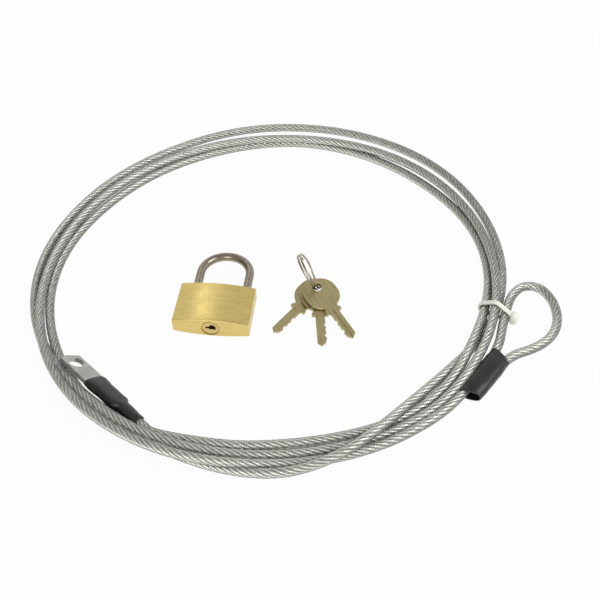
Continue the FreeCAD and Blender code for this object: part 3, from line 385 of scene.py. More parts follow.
class Finish:
    """A named material that is built once."""

    effects: Effects
    name: str

    def build(self) -> bpy.types.Material:
        """Returns the material, built on its first use.

        Returns:
            The material.
        """
        found = bpy.data.materials.get(self.name)
        if found:
            return found
        material = bpy.data.materials.new(self.name)
        material.use_nodes = True
        material.node_tree.nodes.clear()
        graph = Graph(material.node_tree)
        output = graph.node("OutputMaterial")
        graph.feed(self.shade(graph), output.inputs["Surface"])
        return material

    def shade(self, graph: Graph) -> bpy.types.NodeSocket:
        """Builds the surface shader and returns it."""
        raise NotImplementedError

    @staticmethod
    def coordinates(graph: Graph) -> bpy.types.NodeSocket:
        """Coordinates in the frame, in metres."""
        return graph.node("TexCoord").outputs["Object"]

    @staticmethod
    def principled(graph: Graph, **values: object) -> bpy.types.NodeSocket:
        """A Principled shader with the named sockets fed; an underscore stands for a space.

        Args:
            graph: The material's node tree.
            values: Socket name to a socket or value.

        Returns:
            The surface shader.
        """
        shader = graph.node("BsdfPrincipled")
        for name, value in values.items():
            graph.feed(value, shader.inputs[name.replace("_", " ")])
        return shader.outputs[0]


@dataclass(frozen=True)
class BrushedMetal(Finish):
    """Metal brushed along one direction of the piece."""

    name: str
    dark: Triple
    light: Triple
    turn: Triple = (0.0, 0.0, 0.0)
    gloss: tuple[float, float] = (0.26, 0.38)
    hairs: float = 9000.0
    streaks: float = 900.0
    length: float = 0.03
    relief: float = 0.25

    def shade(self, graph: Graph) -> bpy.types.NodeSocket:
        """Streaks of tone and gloss, with the hairs as relief.

        Args:
            graph: The material's node tree.

        Returns:
            The surface shader.
        """
        frame_place = self.coordinates(graph)
        place = graph.placed(frame_place, turn=self.turn)
        grain = graph.use(self.effects.grain, Vector=place, Hairs=self.hairs, Streaks=self.streaks,
                          Length=self.length)
        gloss = graph.use(self.effects.smudge, Vector=frame_place, Low=self.gloss[0], High=self.gloss[1])
        rough = graph.math("ADD", gloss.outputs[0], graph.math("MULTIPLY", grain.outputs["Value"], 0.08))
        return self.principled(graph, Base_Color=graph.mix(grain.outputs["Value"], self.dark, self.light),
                               Metallic=METAL, Roughness=rough,
                               Normal=graph.bump(grain.outputs["Height"], self.relief, 0.02 * MM))


@dataclass(frozen=True)
class DullMetal(Finish):
    """Galvanised, cast or drawn metal with a mottled tone."""

    name: str
    dark: Triple
    light: Triple
    gloss: tuple[float, float] = (0.38, 0.52)
    patches: float = 260.0
    relief: float = 0.2

    def shade(self, graph: Graph) -> bpy.types.NodeSocket:
        """Mottled tone and gloss with a faint relief.

        Args:
            graph: The material's node tree.

        Returns:
            The surface shader.
        """
        place = self.coordinates(graph)
        mottle = graph.use(self.effects.mottle, Vector=place, Patches=self.patches)
        gloss = graph.use(self.effects.smudge, Vector=place, Low=self.gloss[0], High=self.gloss[1])
        return self.principled(graph, Base_Color=graph.mix(mottle.outputs["Value"], self.dark, self.light),
                               Metallic=METAL, Roughness=gloss.outputs[0],
                               Normal=graph.bump(mottle.outputs["Height"], self.relief, 0.03 * MM))


@dataclass(frozen=True)
class WireRope(Finish):
    """Strands of fine wires: the wires are drawn along each strand's own map."""

    name: str
    # The valley colour is painted shade for the grooves between the strands, and the gap colour is painted
    # shade for the lines between the wires; the wire colour is the metal's own.
    valley_shade: Triple
    gap: Triple
    wire: Triple
    wires_across: float = 3.0
    wires_along: float = -1.5
    valley_shade_to_crown: tuple[float, float] = (0.34, 0.18)
    roughness: tuple[float, float] = (0.45, 0.24)
    patches: float = 420.0
    relief: float = 0.5

    def shade(self, graph: Graph) -> bpy.types.NodeSocket:
        """Bright wires with painted shade in the lines between them, and painted shade in the valleys between
        the strands.

        Args:
            graph: The material's node tree.

        Returns:
            The surface shader.
        """
        rope_map = graph.node("UVMap", uv_map=RopeTube.MAP)
        parts = graph.node("SeparateXYZ")
        graph.feed(rope_map.outputs[0], parts.inputs[0])
        across = graph.math("MULTIPLY", parts.outputs[1], self.wires_across * FULL_TURN)
        along = graph.math("MULTIPLY", parts.outputs[0], self.wires_along * FULL_TURN)
        wave = graph.math("SINE", graph.math("SUBTRACT", across, along))
        wires = graph.span(wave, (-1.0, 0.4), (0.0, 1.0))
        mottle = graph.use(self.effects.mottle, Vector=self.coordinates(graph), Patches=self.patches)
        tone = graph.math("MULTIPLY", wires, graph.span(mottle.outputs["Value"], (0.0, 1.0), (0.80, 1.0)))
        # Painted shade: the strand edges, where neighbouring strands meet in the valleys, take the dark
        # valley colour, and the lines between the wires take the darker gap colour.
        off_crown = graph.math("ABSOLUTE", graph.math("SUBTRACT", parts.outputs[1], 0.5))
        valley_shade_to_crown = graph.span(off_crown, self.valley_shade_to_crown, (0.0, 1.0))
        zinc = graph.mix(valley_shade_to_crown, self.valley_shade, graph.mix(tone, self.gap, self.wire))
        return self.principled(graph, Base_Color=zinc, Metallic=METAL,
                               Roughness=graph.span(wires, (0.0, 1.0), self.roughness),
                               Normal=graph.bump(wires, self.relief, 0.05 * MM))


@dataclass(frozen=True)
class ClearJacket(Finish):
    """Clear soft plastic drawn over the rope: what is under it shows, with gloss and a little haze."""

    name: str
    tint: Triple = (0.97, 0.98, 0.96)
    haze_colour: Triple = (0.80, 0.82, 0.79)
    haze: float = 0.17
    cloud_scale: float = 300.0
    roughness: float = 0.06
    ior: float = 1.5

    def shade(self, graph: Graph) -> bpy.types.NodeSocket:
        """A clear layer, a haze in it and a gloss on top.

        Args:
            graph: The material's node tree.

        Returns:
            The surface shader.
        """
        clear = graph.node("BsdfTransparent")
        graph.feed(self.tint, clear.inputs[0])
        milk = graph.node("BsdfDiffuse")
        graph.feed(self.haze_colour, milk.inputs[0])
        cloud = graph.noise(self.coordinates(graph), self.cloud_scale, 3.0)
        share = graph.span(cloud, (0.3, 0.7), (self.haze * 0.6, self.haze * 1.4))
        body = graph.blend(share, clear.outputs[0], milk.outputs[0])
        shine = graph.node("BsdfGlossy")
        shine.inputs["Roughness"].default_value = self.roughness
        edge = graph.node("Fresnel")
        edge.inputs["IOR"].default_value = self.ior
        return graph.blend(edge.outputs[0], body, shine.outputs[0])


@dataclass(frozen=True)
class ShrinkSleeve(Finish):
    """Black shrink sleeve: satin, with a fine pebble from the shrinking."""

    name: str
    dark: Triple = (0.006, 0.007, 0.006)
    light: Triple = (0.014, 0.014, 0.012)
    gloss: tuple[float, float] = (0.24, 0.34)
    relief: float = 0.3

    def shade(self, graph: Graph) -> bpy.types.NodeSocket:
        """Near black with a pebbled relief.

        Args:
            graph: The material's node tree.

        Returns:
            The surface shader.
        """
        place = self.coordinates(graph)
        mottle = graph.use(self.effects.mottle, Vector=place, Patches=500.0, Speckle=5200.0)
        gloss = graph.use(self.effects.smudge, Vector=place, Size=240.0, Low=self.gloss[0],
                          High=self.gloss[1])
        return self.principled(graph, Base_Color=graph.mix(mottle.outputs["Value"], self.dark, self.light),
                               Roughness=gloss.outputs[0],
                               Normal=graph.bump(mottle.outputs["Height"], self.relief, 0.04 * MM))


@dataclass(frozen=True)
class MilkyNylon(Finish):
    """Natural nylon: milky, so light wanders in it."""

    name: str
    dark: Triple = (0.76, 0.77, 0.69)
    light: Triple = (0.85, 0.86, 0.78)
    gloss: tuple[float, float] = (0.30, 0.42)
    scattering: float = 0.4
    relief: float = 0.15

    def shade(self, graph: Graph) -> bpy.types.NodeSocket:
        """A pale tone with scattering below the surface.

        Args:
            graph: The material's node tree.

        Returns:
            The surface shader.
        """
        place = self.coordinates(graph)
        mottle = graph.use(self.effects.mottle, Vector=place, Patches=180.0, Speckle=2600.0)
        gloss = graph.use(self.effects.smudge, Vector=place, Size=300.0, Low=self.gloss[0],
                          High=self.gloss[1])
        return self.principled(graph, Base_Color=graph.mix(mottle.outputs["Value"], self.dark, self.light),
                               Roughness=gloss.outputs[0], Subsurface_Weight=self.scattering,
                               Subsurface_Radius=(1.0 * MM, 1.0 * MM, 0.8 * MM), Subsurface_Scale=1.0,
                               Normal=graph.bump(mottle.outputs["Height"], self.relief, 0.02 * MM))


# ---- Mesh building

def mesh_object(name: str, points: np.ndarray, faces: Faces, finish: Finish) -> bpy.types.Object:
    """Makes an object from points and faces.

    Args:
        name: The piece's name.
        points: Its points in metres, in the frame.
        faces: The point numbers of each face.
        finish: What it is finished with.

    Returns:
        The new object, in the scene.
    """
    mesh = bpy.data.meshes.new(name)
    mesh.from_pydata([tuple(p) for p in points], [], [tuple(f) for f in faces])
    mesh.polygons.foreach_set("use_smooth", [True] * len(mesh.polygons))
    mesh.materials.append(finish.build())
    return add_object(name, mesh)


def bevelled(piece: bpy.types.Object, width: float, segments: int = 3,
             angle: float = 35.0) -> bpy.types.Object:
    """Rounds a piece's sharp edges by a modifier.

    Args:
        piece: The piece.
        width: The rounding in metres.
        segments: Steps across it.
        angle: Edges sharper than this many degrees are rounded.

    Returns:
        The same piece.
    """
    modifier = piece.modifiers.new("edges", "BEVEL")
    modifier.width = width
    modifier.segments = segments
    modifier.limit_method = "ANGLE"
    modifier.angle_limit = math.radians(angle)
    modifier.harden_normals = False
    return piece


def closed_tube(rings: Rings) -> Faces:
    """Faces of a surface through the rings and back to the first, as a shell's outside and inside.

    Args:
        rings: Rings of as many points each.

    Returns:
        The faces, by point number.
    """
    count, size = len(rings), len(rings[0])
    return [(i * size + j, i * size + (j + 1) % size, (i + 1) % count * size + (j + 1) % size,
             (i + 1) % count * size + j) for i in range(count) for j in range(size)]


def soft_rectangle(half_width: float, half_height: float, power: float, count: int) -> np.ndarray:
    """A ring between an ellipse (power 2) and a rectangle (a high power), in its own plane.

    Args:
        half_width: Half its width.
        half_height: Half its height.
        power: How square its corners are.
        count: How many points it has.

    Returns:
        Its points, turning left.
    """
    angles = np.arange(count) * FULL_TURN / count
    cos, sin = np.cos(angles), np.sin(angles)
    return np.stack([np.sign(cos) * np.abs(cos) ** (2 / power) * half_width,
                     np.sign(sin) * np.abs(sin) ** (2 / power) * half_height], axis=1)


# ---- The rope

@dataclass
class RopeTube:
    """The rope along one line: a clear jacket with twisted strands in it."""

    name: str
    points: list[Vector]
    jacket_radius: float = 2.0 * MM
    strands: int = 6
    pitch_radius: float = 1.18 * MM
    strand_radius: float = 0.62 * MM
    lay: float = 18.0 * MM
    steps_per_lay: int = 16
    steps_per_strand: int = 8

    MAP = "rope_lay"

    def jacket(self, finish: Finish) -> bpy.types.Object:
        """The jacket: a smooth spline through the route with a round section.

        Args:
            finish: What it is finished with.

        Returns:
            The jacket, a curve with one spline.
        """
        curve = bpy.data.curves.new(self.name + "_jacket", "CURVE")
        curve.dimensions = "3D"
        curve.resolution_u = 12
        curve.bevel_depth = self.jacket_radius
        curve.bevel_resolution = 5
        curve.use_fill_caps = True
        spline = curve.splines.new("NURBS")
        spline.points.add(len(self.points) - 1)
        for target, point in zip(spline.points, self.points):
            target.co = (*point, 1.0)
        spline.order_u = 3
        spline.use_endpoint_u = True
        curve.materials.append(finish.build())
        return add_object(self.name + "_jacket", curve)

    @staticmethod
    def read_line(jacket: bpy.types.Object) -> np.ndarray:
        """The points that Blender gives for the jacket's own spline without its section.

        Args:
            jacket: The jacket.

        Returns:
            The line's points in metres.
        """
        bare = bpy.data.objects.new("bare_line", jacket.data.copy())
        bare.data.bevel_depth = 0.0
        mesh = bpy.data.meshes.new_from_object(bare)
        line = np.array([vertex.co for vertex in mesh.vertices])
        bpy.data.meshes.remove(mesh)
        bpy.data.curves.remove(bare.data)
        return line

    @staticmethod
    def evenly(line: np.ndarray, step: float) -> tuple[np.ndarray, np.ndarray]:
        """Points about step apart along a line, and their distances along it.

        Args:
            line: The line's points.
            step: The distance between the new ones.

        Returns:
            The new points, and how far along each is.
        """
        along = np.concatenate([[0.0], np.cumsum(np.linalg.norm(np.diff(line, axis=0), axis=1))])
        at = np.linspace(0.0, along[-1], max(2, math.ceil(along[-1] / step) + 1))
        return np.stack([np.interp(at, along, line[:, k]) for k in range(3)], axis=1), at

    @staticmethod
    def frames(line: np.ndarray) -> tuple[np.ndarray, np.ndarray, np.ndarray]:
        """Directions along the line, and two across it that don't twist about it.

        Args:
            line: The line's points.

        Returns:
            Directions along, sideways and upward at each point.
        """
        ways = np.gradient(line, axis=0)
        ways /= np.linalg.norm(ways, axis=1)[:, None]
        side = np.cross(ways[0], (0.0, 0.0, 1.0))
        sides = []
        for way in ways:
            side = side - way * side.dot(way)
            side = side / np.linalg.norm(side)
            sides.append(side)
        sides = np.array(sides)
        return ways, sides, np.cross(ways, sides)

    def section(self) -> tuple[np.ndarray, np.ndarray]:
        """Outline of the strands side by side, and how far round its strand each point is.

        Returns:
            The outline's points, and the share of its strand at each.
        """
        half = math.pi / 2 + math.pi / self.strands
        shares = np.arange(self.steps_per_strand) / self.steps_per_strand
        turns = np.repeat(np.arange(self.strands) * FULL_TURN / self.strands, self.steps_per_strand)
        angles = turns + np.tile((shares * 2 - 1) * half, self.strands)
        outline = np.stack([np.cos(turns), np.sin(turns)], axis=1) * self.pitch_radius
        outline += np.stack([np.cos(angles), np.sin(angles)], axis=1) * self.strand_radius
        return outline, np.tile(shares, self.strands)

    def wires(self, jacket: bpy.types.Object, finish: Finish) -> bpy.types.Object:
        """The strands, twisted to the right round the jacket's line.

        Args:
            jacket: The jacket that they lie in.
            finish: What the wires are finished with.

        Returns:
            The strands as one closed mesh with a map along and round each strand.
        """
        line, along = self.evenly(self.read_line(jacket), self.lay / self.steps_per_lay)
        _, sides, ups = self.frames(line)
        outline, shares = self.section()
        turn = along * FULL_TURN / self.lay
        across = np.cos(turn)[:, None] * outline[:, 0] - np.sin(turn)[:, None] * outline[:, 1]
        upward = np.sin(turn)[:, None] * outline[:, 0] + np.cos(turn)[:, None] * outline[:, 1]
        points = (line[:, None] + across[..., None] * sides[:, None] + upward[..., None] * ups[:, None])
        size, count = len(outline), len(line)
        ring = np.arange(size)
        after = (ring + 1) % size
        rows = np.arange(count - 1)[:, None] * size
        quads = np.stack([rows + ring, rows + after, rows + size + after, rows + size + ring], axis=-1)
        faces = [tuple(quad) for quad in quads.reshape(-1, 4).tolist()]
        faces += [tuple(reversed(range(size))), tuple(range((count - 1) * size, count * size))]
        made = mesh_object(self.name + "_wires", points.reshape(-1, 3), faces, finish)
        reach = np.where(after % self.steps_per_strand == 0, 1.0, shares[after])
        low, high = along[:-1, None] / self.lay, along[1:, None] / self.lay
        blank = np.zeros((count - 1, size))
        corners = np.stack([np.stack([blank + low, blank + shares], axis=-1),
                            np.stack([blank + low, blank + reach], axis=-1),
                            np.stack([blank + high, blank + reach], axis=-1),
                            np.stack([blank + high, blank + shares], axis=-1)], axis=2).reshape(-1, 2)
        values = np.zeros((len(made.data.loops), 2), np.float32)
        values[:len(corners)] = corners
        made.data.uv_layers.new(name=self.MAP).data.foreach_set("uv", values.ravel())
        return made


@dataclass
class CoilRoute:
    """The coil as it lies, by stations along it.

    Each station has an angle round the coil's middle, the distance from it at which the camera sees the
    rope on the table, and the height at which the rope runs there, in millimetres.
    """

    centre: tuple[float, float] = (-14.0, 16.0)
    rope_radius: float = 2.0
    points_per_turn: int = 30
    lug_reach: float = 12.0
    first_angle: float = 262.0
    stations: tuple[Triple, ...] = (
        (256.0, 94.6, 2.6), (270.0, 92.5, 2.0), (285.0, 93.0, 2.0), (300.0, 95.8, 2.0), (312.0, 97.2, 2.0),
        (321.0, 97.0, 3.6), (331.0, 95.6, 5.4), (340.0, 96.0, 4.8), (352.0, 97.8, 2.4), (364.0, 99.5, 2.0),
        (380.0, 99.8, 2.0), (400.0, 97.9, 2.0), (440.0, 97.1, 2.0), (455.0, 94.9, 2.0), (470.0, 92.6, 2.0),
        (485.0, 91.7, 2.0), (510.0, 92.1, 2.0), (540.0, 96.1, 2.0), (580.0, 99.3, 2.0), (600.0, 100.5, 2.0),
        (613.0, 101.8, 2.0), (622.0, 103.8, 2.0), (630.0, 105.8, 2.4), (638.0, 104.2, 5.0),
        (645.0, 101.6, 6.6), (653.0, 97.9, 6.8), (661.0, 94.0, 6.4), (670.0, 92.2, 3.4), (680.0, 92.7, 2.0),
        (690.0, 95.9, 2.0), (700.0, 99.6, 2.0), (710.0, 103.2, 2.0), (720.0, 105.5, 2.0),
        (740.0, 109.2, 2.0), (760.0, 112.6, 2.0), (780.0, 112.9, 2.0), (800.0, 111.0, 2.0),
        (820.0, 108.3, 2.0), (840.0, 104.2, 2.0), (870.0, 102.9, 2.0), (900.0, 103.9, 2.0),
        (920.0, 103.2, 2.0), (935.0, 100.9, 3.8), (946.0, 98.9, 5.6), (962.0, 98.3, 5.4),
        (976.0, 97.2, 3.4), (990.0, 96.8, 2.0), (1005.0, 97.6, 2.0), (1020.0, 99.4, 2.0),
        (1032.0, 100.8, 2.6), (1045.0, 100.5, 5.2), (1060.0, 100.8, 6.0), (1080.0, 102.2, 5.6),
        (1100.0, 103.9, 5.4), (1120.0, 105.0, 5.6), (1140.0, 103.8, 5.6), (1165.0, 100.3, 5.8),
        (1200.0, 98.0, 5.6), (1230.0, 97.9, 5.6), (1260.0, 99.9, 5.6), (1280.0, 102.3, 6.0),
        (1300.0, 103.5, 6.2), (1322.0, 102.2, 6.2), (1335.0, 101.4, 6.0), (1344.0, 100.8, 4.4),
        (1353.0, 100.8, 2.2), (1365.0, 101.6, 2.0), (1380.0, 103.0, 2.0), (1399.3, 104.3, 3.1))

    def slopes(self) -> list[np.ndarray]:
        """How fast the distance and the height change at each station, by degree.

        Returns:
            Distance and height gained per degree, for each station.
        """
        table = np.array(self.stations)
        found = []
        for i in range(len(table)):
            before, after = table[max(i - 1, 0)], table[min(i + 1, len(table) - 1)]
            found.append((after[1:] - before[1:]) / (after[0] - before[0]))
        return found

    def place(self, degrees: float, slopes: list[np.ndarray]) -> tuple[float, float]:
        """Distance and height at an angle, on a smooth line through the stations.

        Args:
            degrees: The angle.
            slopes: What slopes() gives.

        Returns:
            The distance and the height in millimetres.
        """
        table = np.array(self.stations)
        i = int(np.clip(np.searchsorted(table[:, 0], degrees) - 1, 0, len(table) - 2))
        width = table[i + 1, 0] - table[i, 0]
        t = (degrees - table[i, 0]) / width
        value = (table[i, 1:] * (2 * t ** 3 - 3 * t ** 2 + 1) + slopes[i] * width * (t ** 3 - 2 * t ** 2 + t)
                 + table[i + 1, 1:] * (3 * t ** 2 - 2 * t ** 3) + slopes[i + 1] * width * (t ** 3 - t ** 2))
        return float(value[0]), max(float(value[1]), self.rope_radius)

    def seen_at(self, degrees: float, distance: float, height: float) -> Vector:
        """The layout point at a height that the camera sees at this distance on the table.

        Args:
            degrees: The angle.
            distance: The distance on the table.
            height: The rope's height.

        Returns:
            The point in millimetres.
        """
        table_point = Vector((*self.centre, self.rope_radius)) + polar(degrees) * distance
        share = (height - self.rope_radius) / (EYE_POINT.z - self.rope_radius)
        return table_point.lerp(EYE_POINT, share)

    def points(self, ferrule: "EyeSizes") -> list[Vector]:
        """The coil's spline points, from inside the lug to inside the ferrule.

        Args:
            ferrule: Where the rope's outer end is gripped.

        Returns:
            The points in the frame, in metres.
        """
        heading = polar(LUG_HEADING)
        mouth = Vector(LUG_MOUTH)
        line = [mouth - heading * self.lug_reach, mouth + heading * 2.0,
                mouth + heading * 7.0 + Vector((0.0, 0.0, -0.8))]
        step = 360.0 / self.points_per_turn
        # A spline of this order stays inside the corners of its points by this share of their distance.
        pull = (3 + math.cos(math.radians(step))) / 4
        slopes = self.slopes()
        last = self.stations[-1][0]
        count = round((last - self.first_angle) / step)
        for i in range(count):
            angle = self.first_angle + step * i
            seen = self.seen_at(angle, *self.place(angle, slopes))
            axis = Vector((*self.centre, seen.z))
            line.append(axis + (seen - axis) / pull)
        line += [ferrule.place(-ferrule.length / 2 - 2.0, Bore.LIVE), ferrule.place(-2.0, Bore.LIVE)]
        return [spot(*point) for point in line]


class Bore(Enum):
    """The ferrule's two bores: the rope goes out to the eye by one and comes back by the other."""

    LIVE = 0.5
    RETURN = -0.5


@dataclass
class EyeSizes:
    """The eye's ferrule and the rope's loop in front of it, in millimetres."""

    centre: Triple = (74.4, -44.6, 3.2)
    heading: float = 51.2
    length: float = 25.0
    bore_spacing: float = 4.4
    lead: float = 14.5
    end: float = 3.2
    loop: tuple[Triple, ...] = (
        (86.4, -15.9, 3.2), (91.6, -1.9, 3.1), (96.6, 4.4, 2.6), (100.3, 6.5, 2.2), (104.6, 6.2, 2.1),
        (108.0, 3.6, 2.1), (111.0, -4.0, 2.1), (110.5, -14.5, 2.1), (106.0, -23.4, 2.2), (97.6, -29.9, 2.6))

    def place(self, along: float, bore: Bore) -> Vector:
        """A layout place in one of the ferrule's bores, along it from the ferrule's middle.

        Args:
            along: Distance from the middle towards the eye.
            bore: Which bore.

        Returns:
            The place in millimetres.
        """
        way = polar(self.heading)
        inner = Vector((-way.y, way.x, 0.0))
        return Vector(self.centre) + way * along + inner * (bore.value * self.bore_spacing)

    def points(self) -> list[Vector]:
        """The loop's spline points, out of the live bore and back into the return bore, in metres.

        Returns:
            The points in the frame.
        """
        line = [self.place(0.0, Bore.LIVE), self.place(self.lead, Bore.LIVE), *(Vector(p) for p in self.loop),
                self.place(self.lead, Bore.RETURN), self.place(self.end, Bore.RETURN)]
        return [spot(*point) for point in line]


@dataclass
class Sleeve:
    """A shrink sleeve lofted through stations: place along it, half width, half height, corner power."""

    name: str
    matrix: Matrix
    stations: tuple[tuple[float, float, float, float], ...]
    wall: float = 0.5
    slant: float = 0.0
    around: int = 40
    ripple: float = 0.05
    steps: int = 5

    def ring(self, station: np.ndarray, inset: float) -> np.ndarray:
        """One ring of the sleeve, drawn in by inset, with the ripples that shrinking leaves.

        Args:
            station: Place, half width, half height and corner power.
            inset: How far it is drawn in.

        Returns:
            The ring's points in metres.
        """
        x, half_width, half_height, power = station
        flat = soft_rectangle(half_width - inset, half_height - inset, power, self.around)
        angles = np.arange(self.around) * FULL_TURN / self.around
        waves = np.sin(angles * 3 + x * 0.9) + 0.6 * np.sin(angles * 5 - x * 1.7)
        swell = 1 + self.ripple / half_width * waves
        cut = x * (1 + self.slant * flat[:, 0] / half_width)
        points = np.column_stack([cut, flat * swell[:, None]])
        return np.array([self.matrix @ Vector(p) for p in points]) * MM

    def fine_stations(self) -> np.ndarray:
        """The stations with smooth ones between them.

        Returns:
            The stations, one to a row.
        """
        table = np.array(self.stations)
        at = np.concatenate([np.linspace(a, b, self.steps, endpoint=False)
                             for a, b in zip(table[:-1, 0], table[1:, 0])] + [table[-1:, 0]])
        return np.column_stack([at] + [np.interp(at, table[:, 0], table[:, k]) for k in (1, 2, 3)])

    def build(self, finish: Finish) -> bpy.types.Object:
        """The sleeve as a closed shell with rounded rims.

        Args:
            finish: What it is finished with.

        Returns:
            The sleeve.
        """
        stations = self.fine_stations()
        rim = self.wall * 0.3
        rings = [self.ring(stations[0], rim), *(self.ring(s, 0.0) for s in stations),
                 self.ring(stations[-1], rim), *(self.ring(s, self.wall) for s in stations[::-1])]
        shifted = stations.copy()
        shifted[0, 0] += rim
        shifted[-1, 0] -= rim
        rings[1], rings[len(stations)] = self.ring(shifted[0], 0.0), self.ring(shifted[-1], 0.0)
        made = mesh_object(self.name, np.concatenate(rings), closed_tube(rings), finish)
        made.data.flip_normals()
        return made


@dataclass
class LugEnd:
    """The crimped lug at the rope's inner end and its sleeve, in the lug's own frame with X along it."""

    mouth: Triple = LUG_MOUTH
    heading: float = LUG_HEADING
    roll: float = -30.0
    length: float = 46.6
    tab_width: float = 8.5
    tab_thickness: float = 2.0
    tab_length: float = 19.0
    hole: Triple = (5.7, 0.0, 3.1)
    barrel: Triple = (15.6, 7.0, 3.6)
    hole_points: int = 40
    edge: float = 0.28
    barrel_power: float = 4.0
    barrel_points: int = 24
    sleeve_overlap: float = 1.4

    def matrix(self) -> Matrix:
        """From the lug's frame in millimetres to the frame's, in millimetres.

        Returns:
            The matrix.
        """
        tip = Vector(self.mouth) - polar(self.heading) * self.length + LAYOUT_TO_FRAME
        return (Matrix.Translation(tip) @ Matrix.Rotation(math.radians(self.heading), 4, "Z")
                @ Matrix.Rotation(math.radians(self.roll), 4, "X"))

    def build_tab(self, finish: Finish) -> bpy.types.Object:
        """The punched tab with its hole and the barrel under the sleeve.

        Args:
            finish: What it is finished with.

        Returns:
            Tab and barrel as one piece.
        """
        half = self.tab_width / 2
        outline = [(self.tab_length, -half), (self.tab_length, half), (2.0, half), (0.0, -1.2),
                   (1.1, -half)]
        bm = bmesh.new()
        outer = [bm.verts.new((x, y, 0.0)) for x, y in outline]
        edges = [bm.edges.new((a, b)) for a, b in zip(outer, outer[1:] + outer[:1])]
        x, y, radius = self.hole
        inner = [bm.verts.new((x + radius * math.cos(k * FULL_TURN / self.hole_points),
                               y + radius * math.sin(k * FULL_TURN / self.hole_points), 0.0))
                 for k in range(self.hole_points)]
        edges += [bm.edges.new((a, b)) for a, b in zip(inner, inner[1:] + inner[:1])]
        bmesh.ops.triangle_fill(bm, use_beauty=True, edges=edges)
        bmesh.ops.dissolve_limit(bm, angle_limit=0.01, verts=bm.verts, edges=bm.edges)
        raised = bmesh.ops.extrude_face_region(bm, geom=list(bm.faces))["geom"]
        bmesh.ops.translate(bm, vec=(0.0, 0.0, self.tab_thickness),
                            verts=[v for v in raised if isinstance(v, bmesh.types.BMVert)])
        bmesh.ops.translate(bm, vec=(0.0, 0.0, -self.tab_thickness / 2), verts=bm.verts)
        length, width, thickness = self.barrel
        ring = soft_rectangle(width / 2, thickness / 2, self.barrel_power, self.barrel_points)
        # The barrel starts just off the tab's end, so that no two faces share a place.
        starts = (self.tab_length + 0.01, self.tab_length + length)
        ends = [[bm.verts.new((at, *p)) for p in ring] for at in starts]
        for j in range(len(ring)):
            k = (j + 1) % len(ring)
            bm.faces.new((ends[0][j], ends[0][k], ends[1][k], ends[1][j]))
        bm.faces.new(ends[0][::-1])
        bm.faces.new(ends[1])
        bmesh.ops.recalc_face_normals(bm, faces=bm.faces)
        bm.transform(Matrix.Scale(MM, 4) @ self.matrix())
        mesh = bpy.data.meshes.new("lug_tab")
        bm.to_mesh(mesh)
        bm.free()
        mesh.materials.append(finish.build())
        return bevelled(add_object("lug_tab", mesh), self.edge * MM)

    def build_sleeve(self, finish: Finish) -> bpy.types.Object:
        """The sleeve: round the tab's end, over the barrel, and drawn in to the rope.

        Args:
            finish: What it is finished with.

        Returns:
            The sleeve.
        """
        start, shoulder = self.tab_length - self.sleeve_overlap, self.tab_length + self.barrel[0]
        stations = ((start, 4.6, 1.75, 3.4), (start + 0.9, 4.45, 2.1, 3.4), (start + 2.4, 4.5, 2.3, 3.6),
                    (start + 5.4, 4.3, 2.35, 3.6), (start + 6.6, 3.95, 2.35, 3.6),
                    (shoulder - 0.6, 3.9, 2.4, 3.6), (shoulder + 0.4, 3.7, 2.4, 3.2),
                    (shoulder + 1.8, 2.8, 2.5, 2.4),
                    (self.length - 3.0, 2.65, 2.5, 2.0), (self.length, 2.55, 2.45, 2.0))
        return Sleeve("lug_sleeve", self.matrix(), stations).build(finish)


@dataclass
class EyeEnd:
    """The eye's pressed ferrule and the sleeve over it."""

    sizes: EyeSizes

    def matrix(self) -> Matrix:
        """From the ferrule's frame, X along it, to the frame's, in millimetres."""
        return (Matrix.Translation(Vector(self.sizes.centre) + LAYOUT_TO_FRAME)
                @ Matrix.Rotation(math.radians(self.sizes.heading), 4, "Z"))

    def build_sleeve(self, finish: Finish) -> bpy.types.Object:
        """The sleeve: full over the ferrule, drawn in towards both mouths, and longer on the coil's side.

        Args:
            finish: What it is finished with.

        Returns:
            The sleeve.
        """
        half = self.sizes.length / 2
        stations = ((-half, 4.6, 2.75, 2.4), (-half + 1.5, 4.7, 2.8, 2.4), (-9.2, 4.75, 2.95, 2.4),
                    (-8.0, 4.85, 3.15, 2.5), (8.0, 4.85, 3.15, 2.5), (9.2, 4.75, 2.95, 2.4),
                    (half - 1.5, 4.7, 2.8, 2.4), (half, 4.6, 2.75, 2.4))
        return Sleeve("eye_sleeve", self.matrix(), stations, slant=0.12).build(finish)

    def build_ferrule(self, finish: Finish) -> bpy.types.Object:
        """The pressed ferrule inside the sleeve, round both legs of the rope."""
        stations = ((-8.0, 4.2, 2.6, 2.4), (-7.0, 4.3, 2.7, 2.4), (7.0, 4.3, 2.7, 2.4), (8.0, 4.2, 2.6, 2.4))
        return Sleeve("pressed_ferrule", self.matrix(), stations, wall=0.55, ripple=0.0).build(finish)


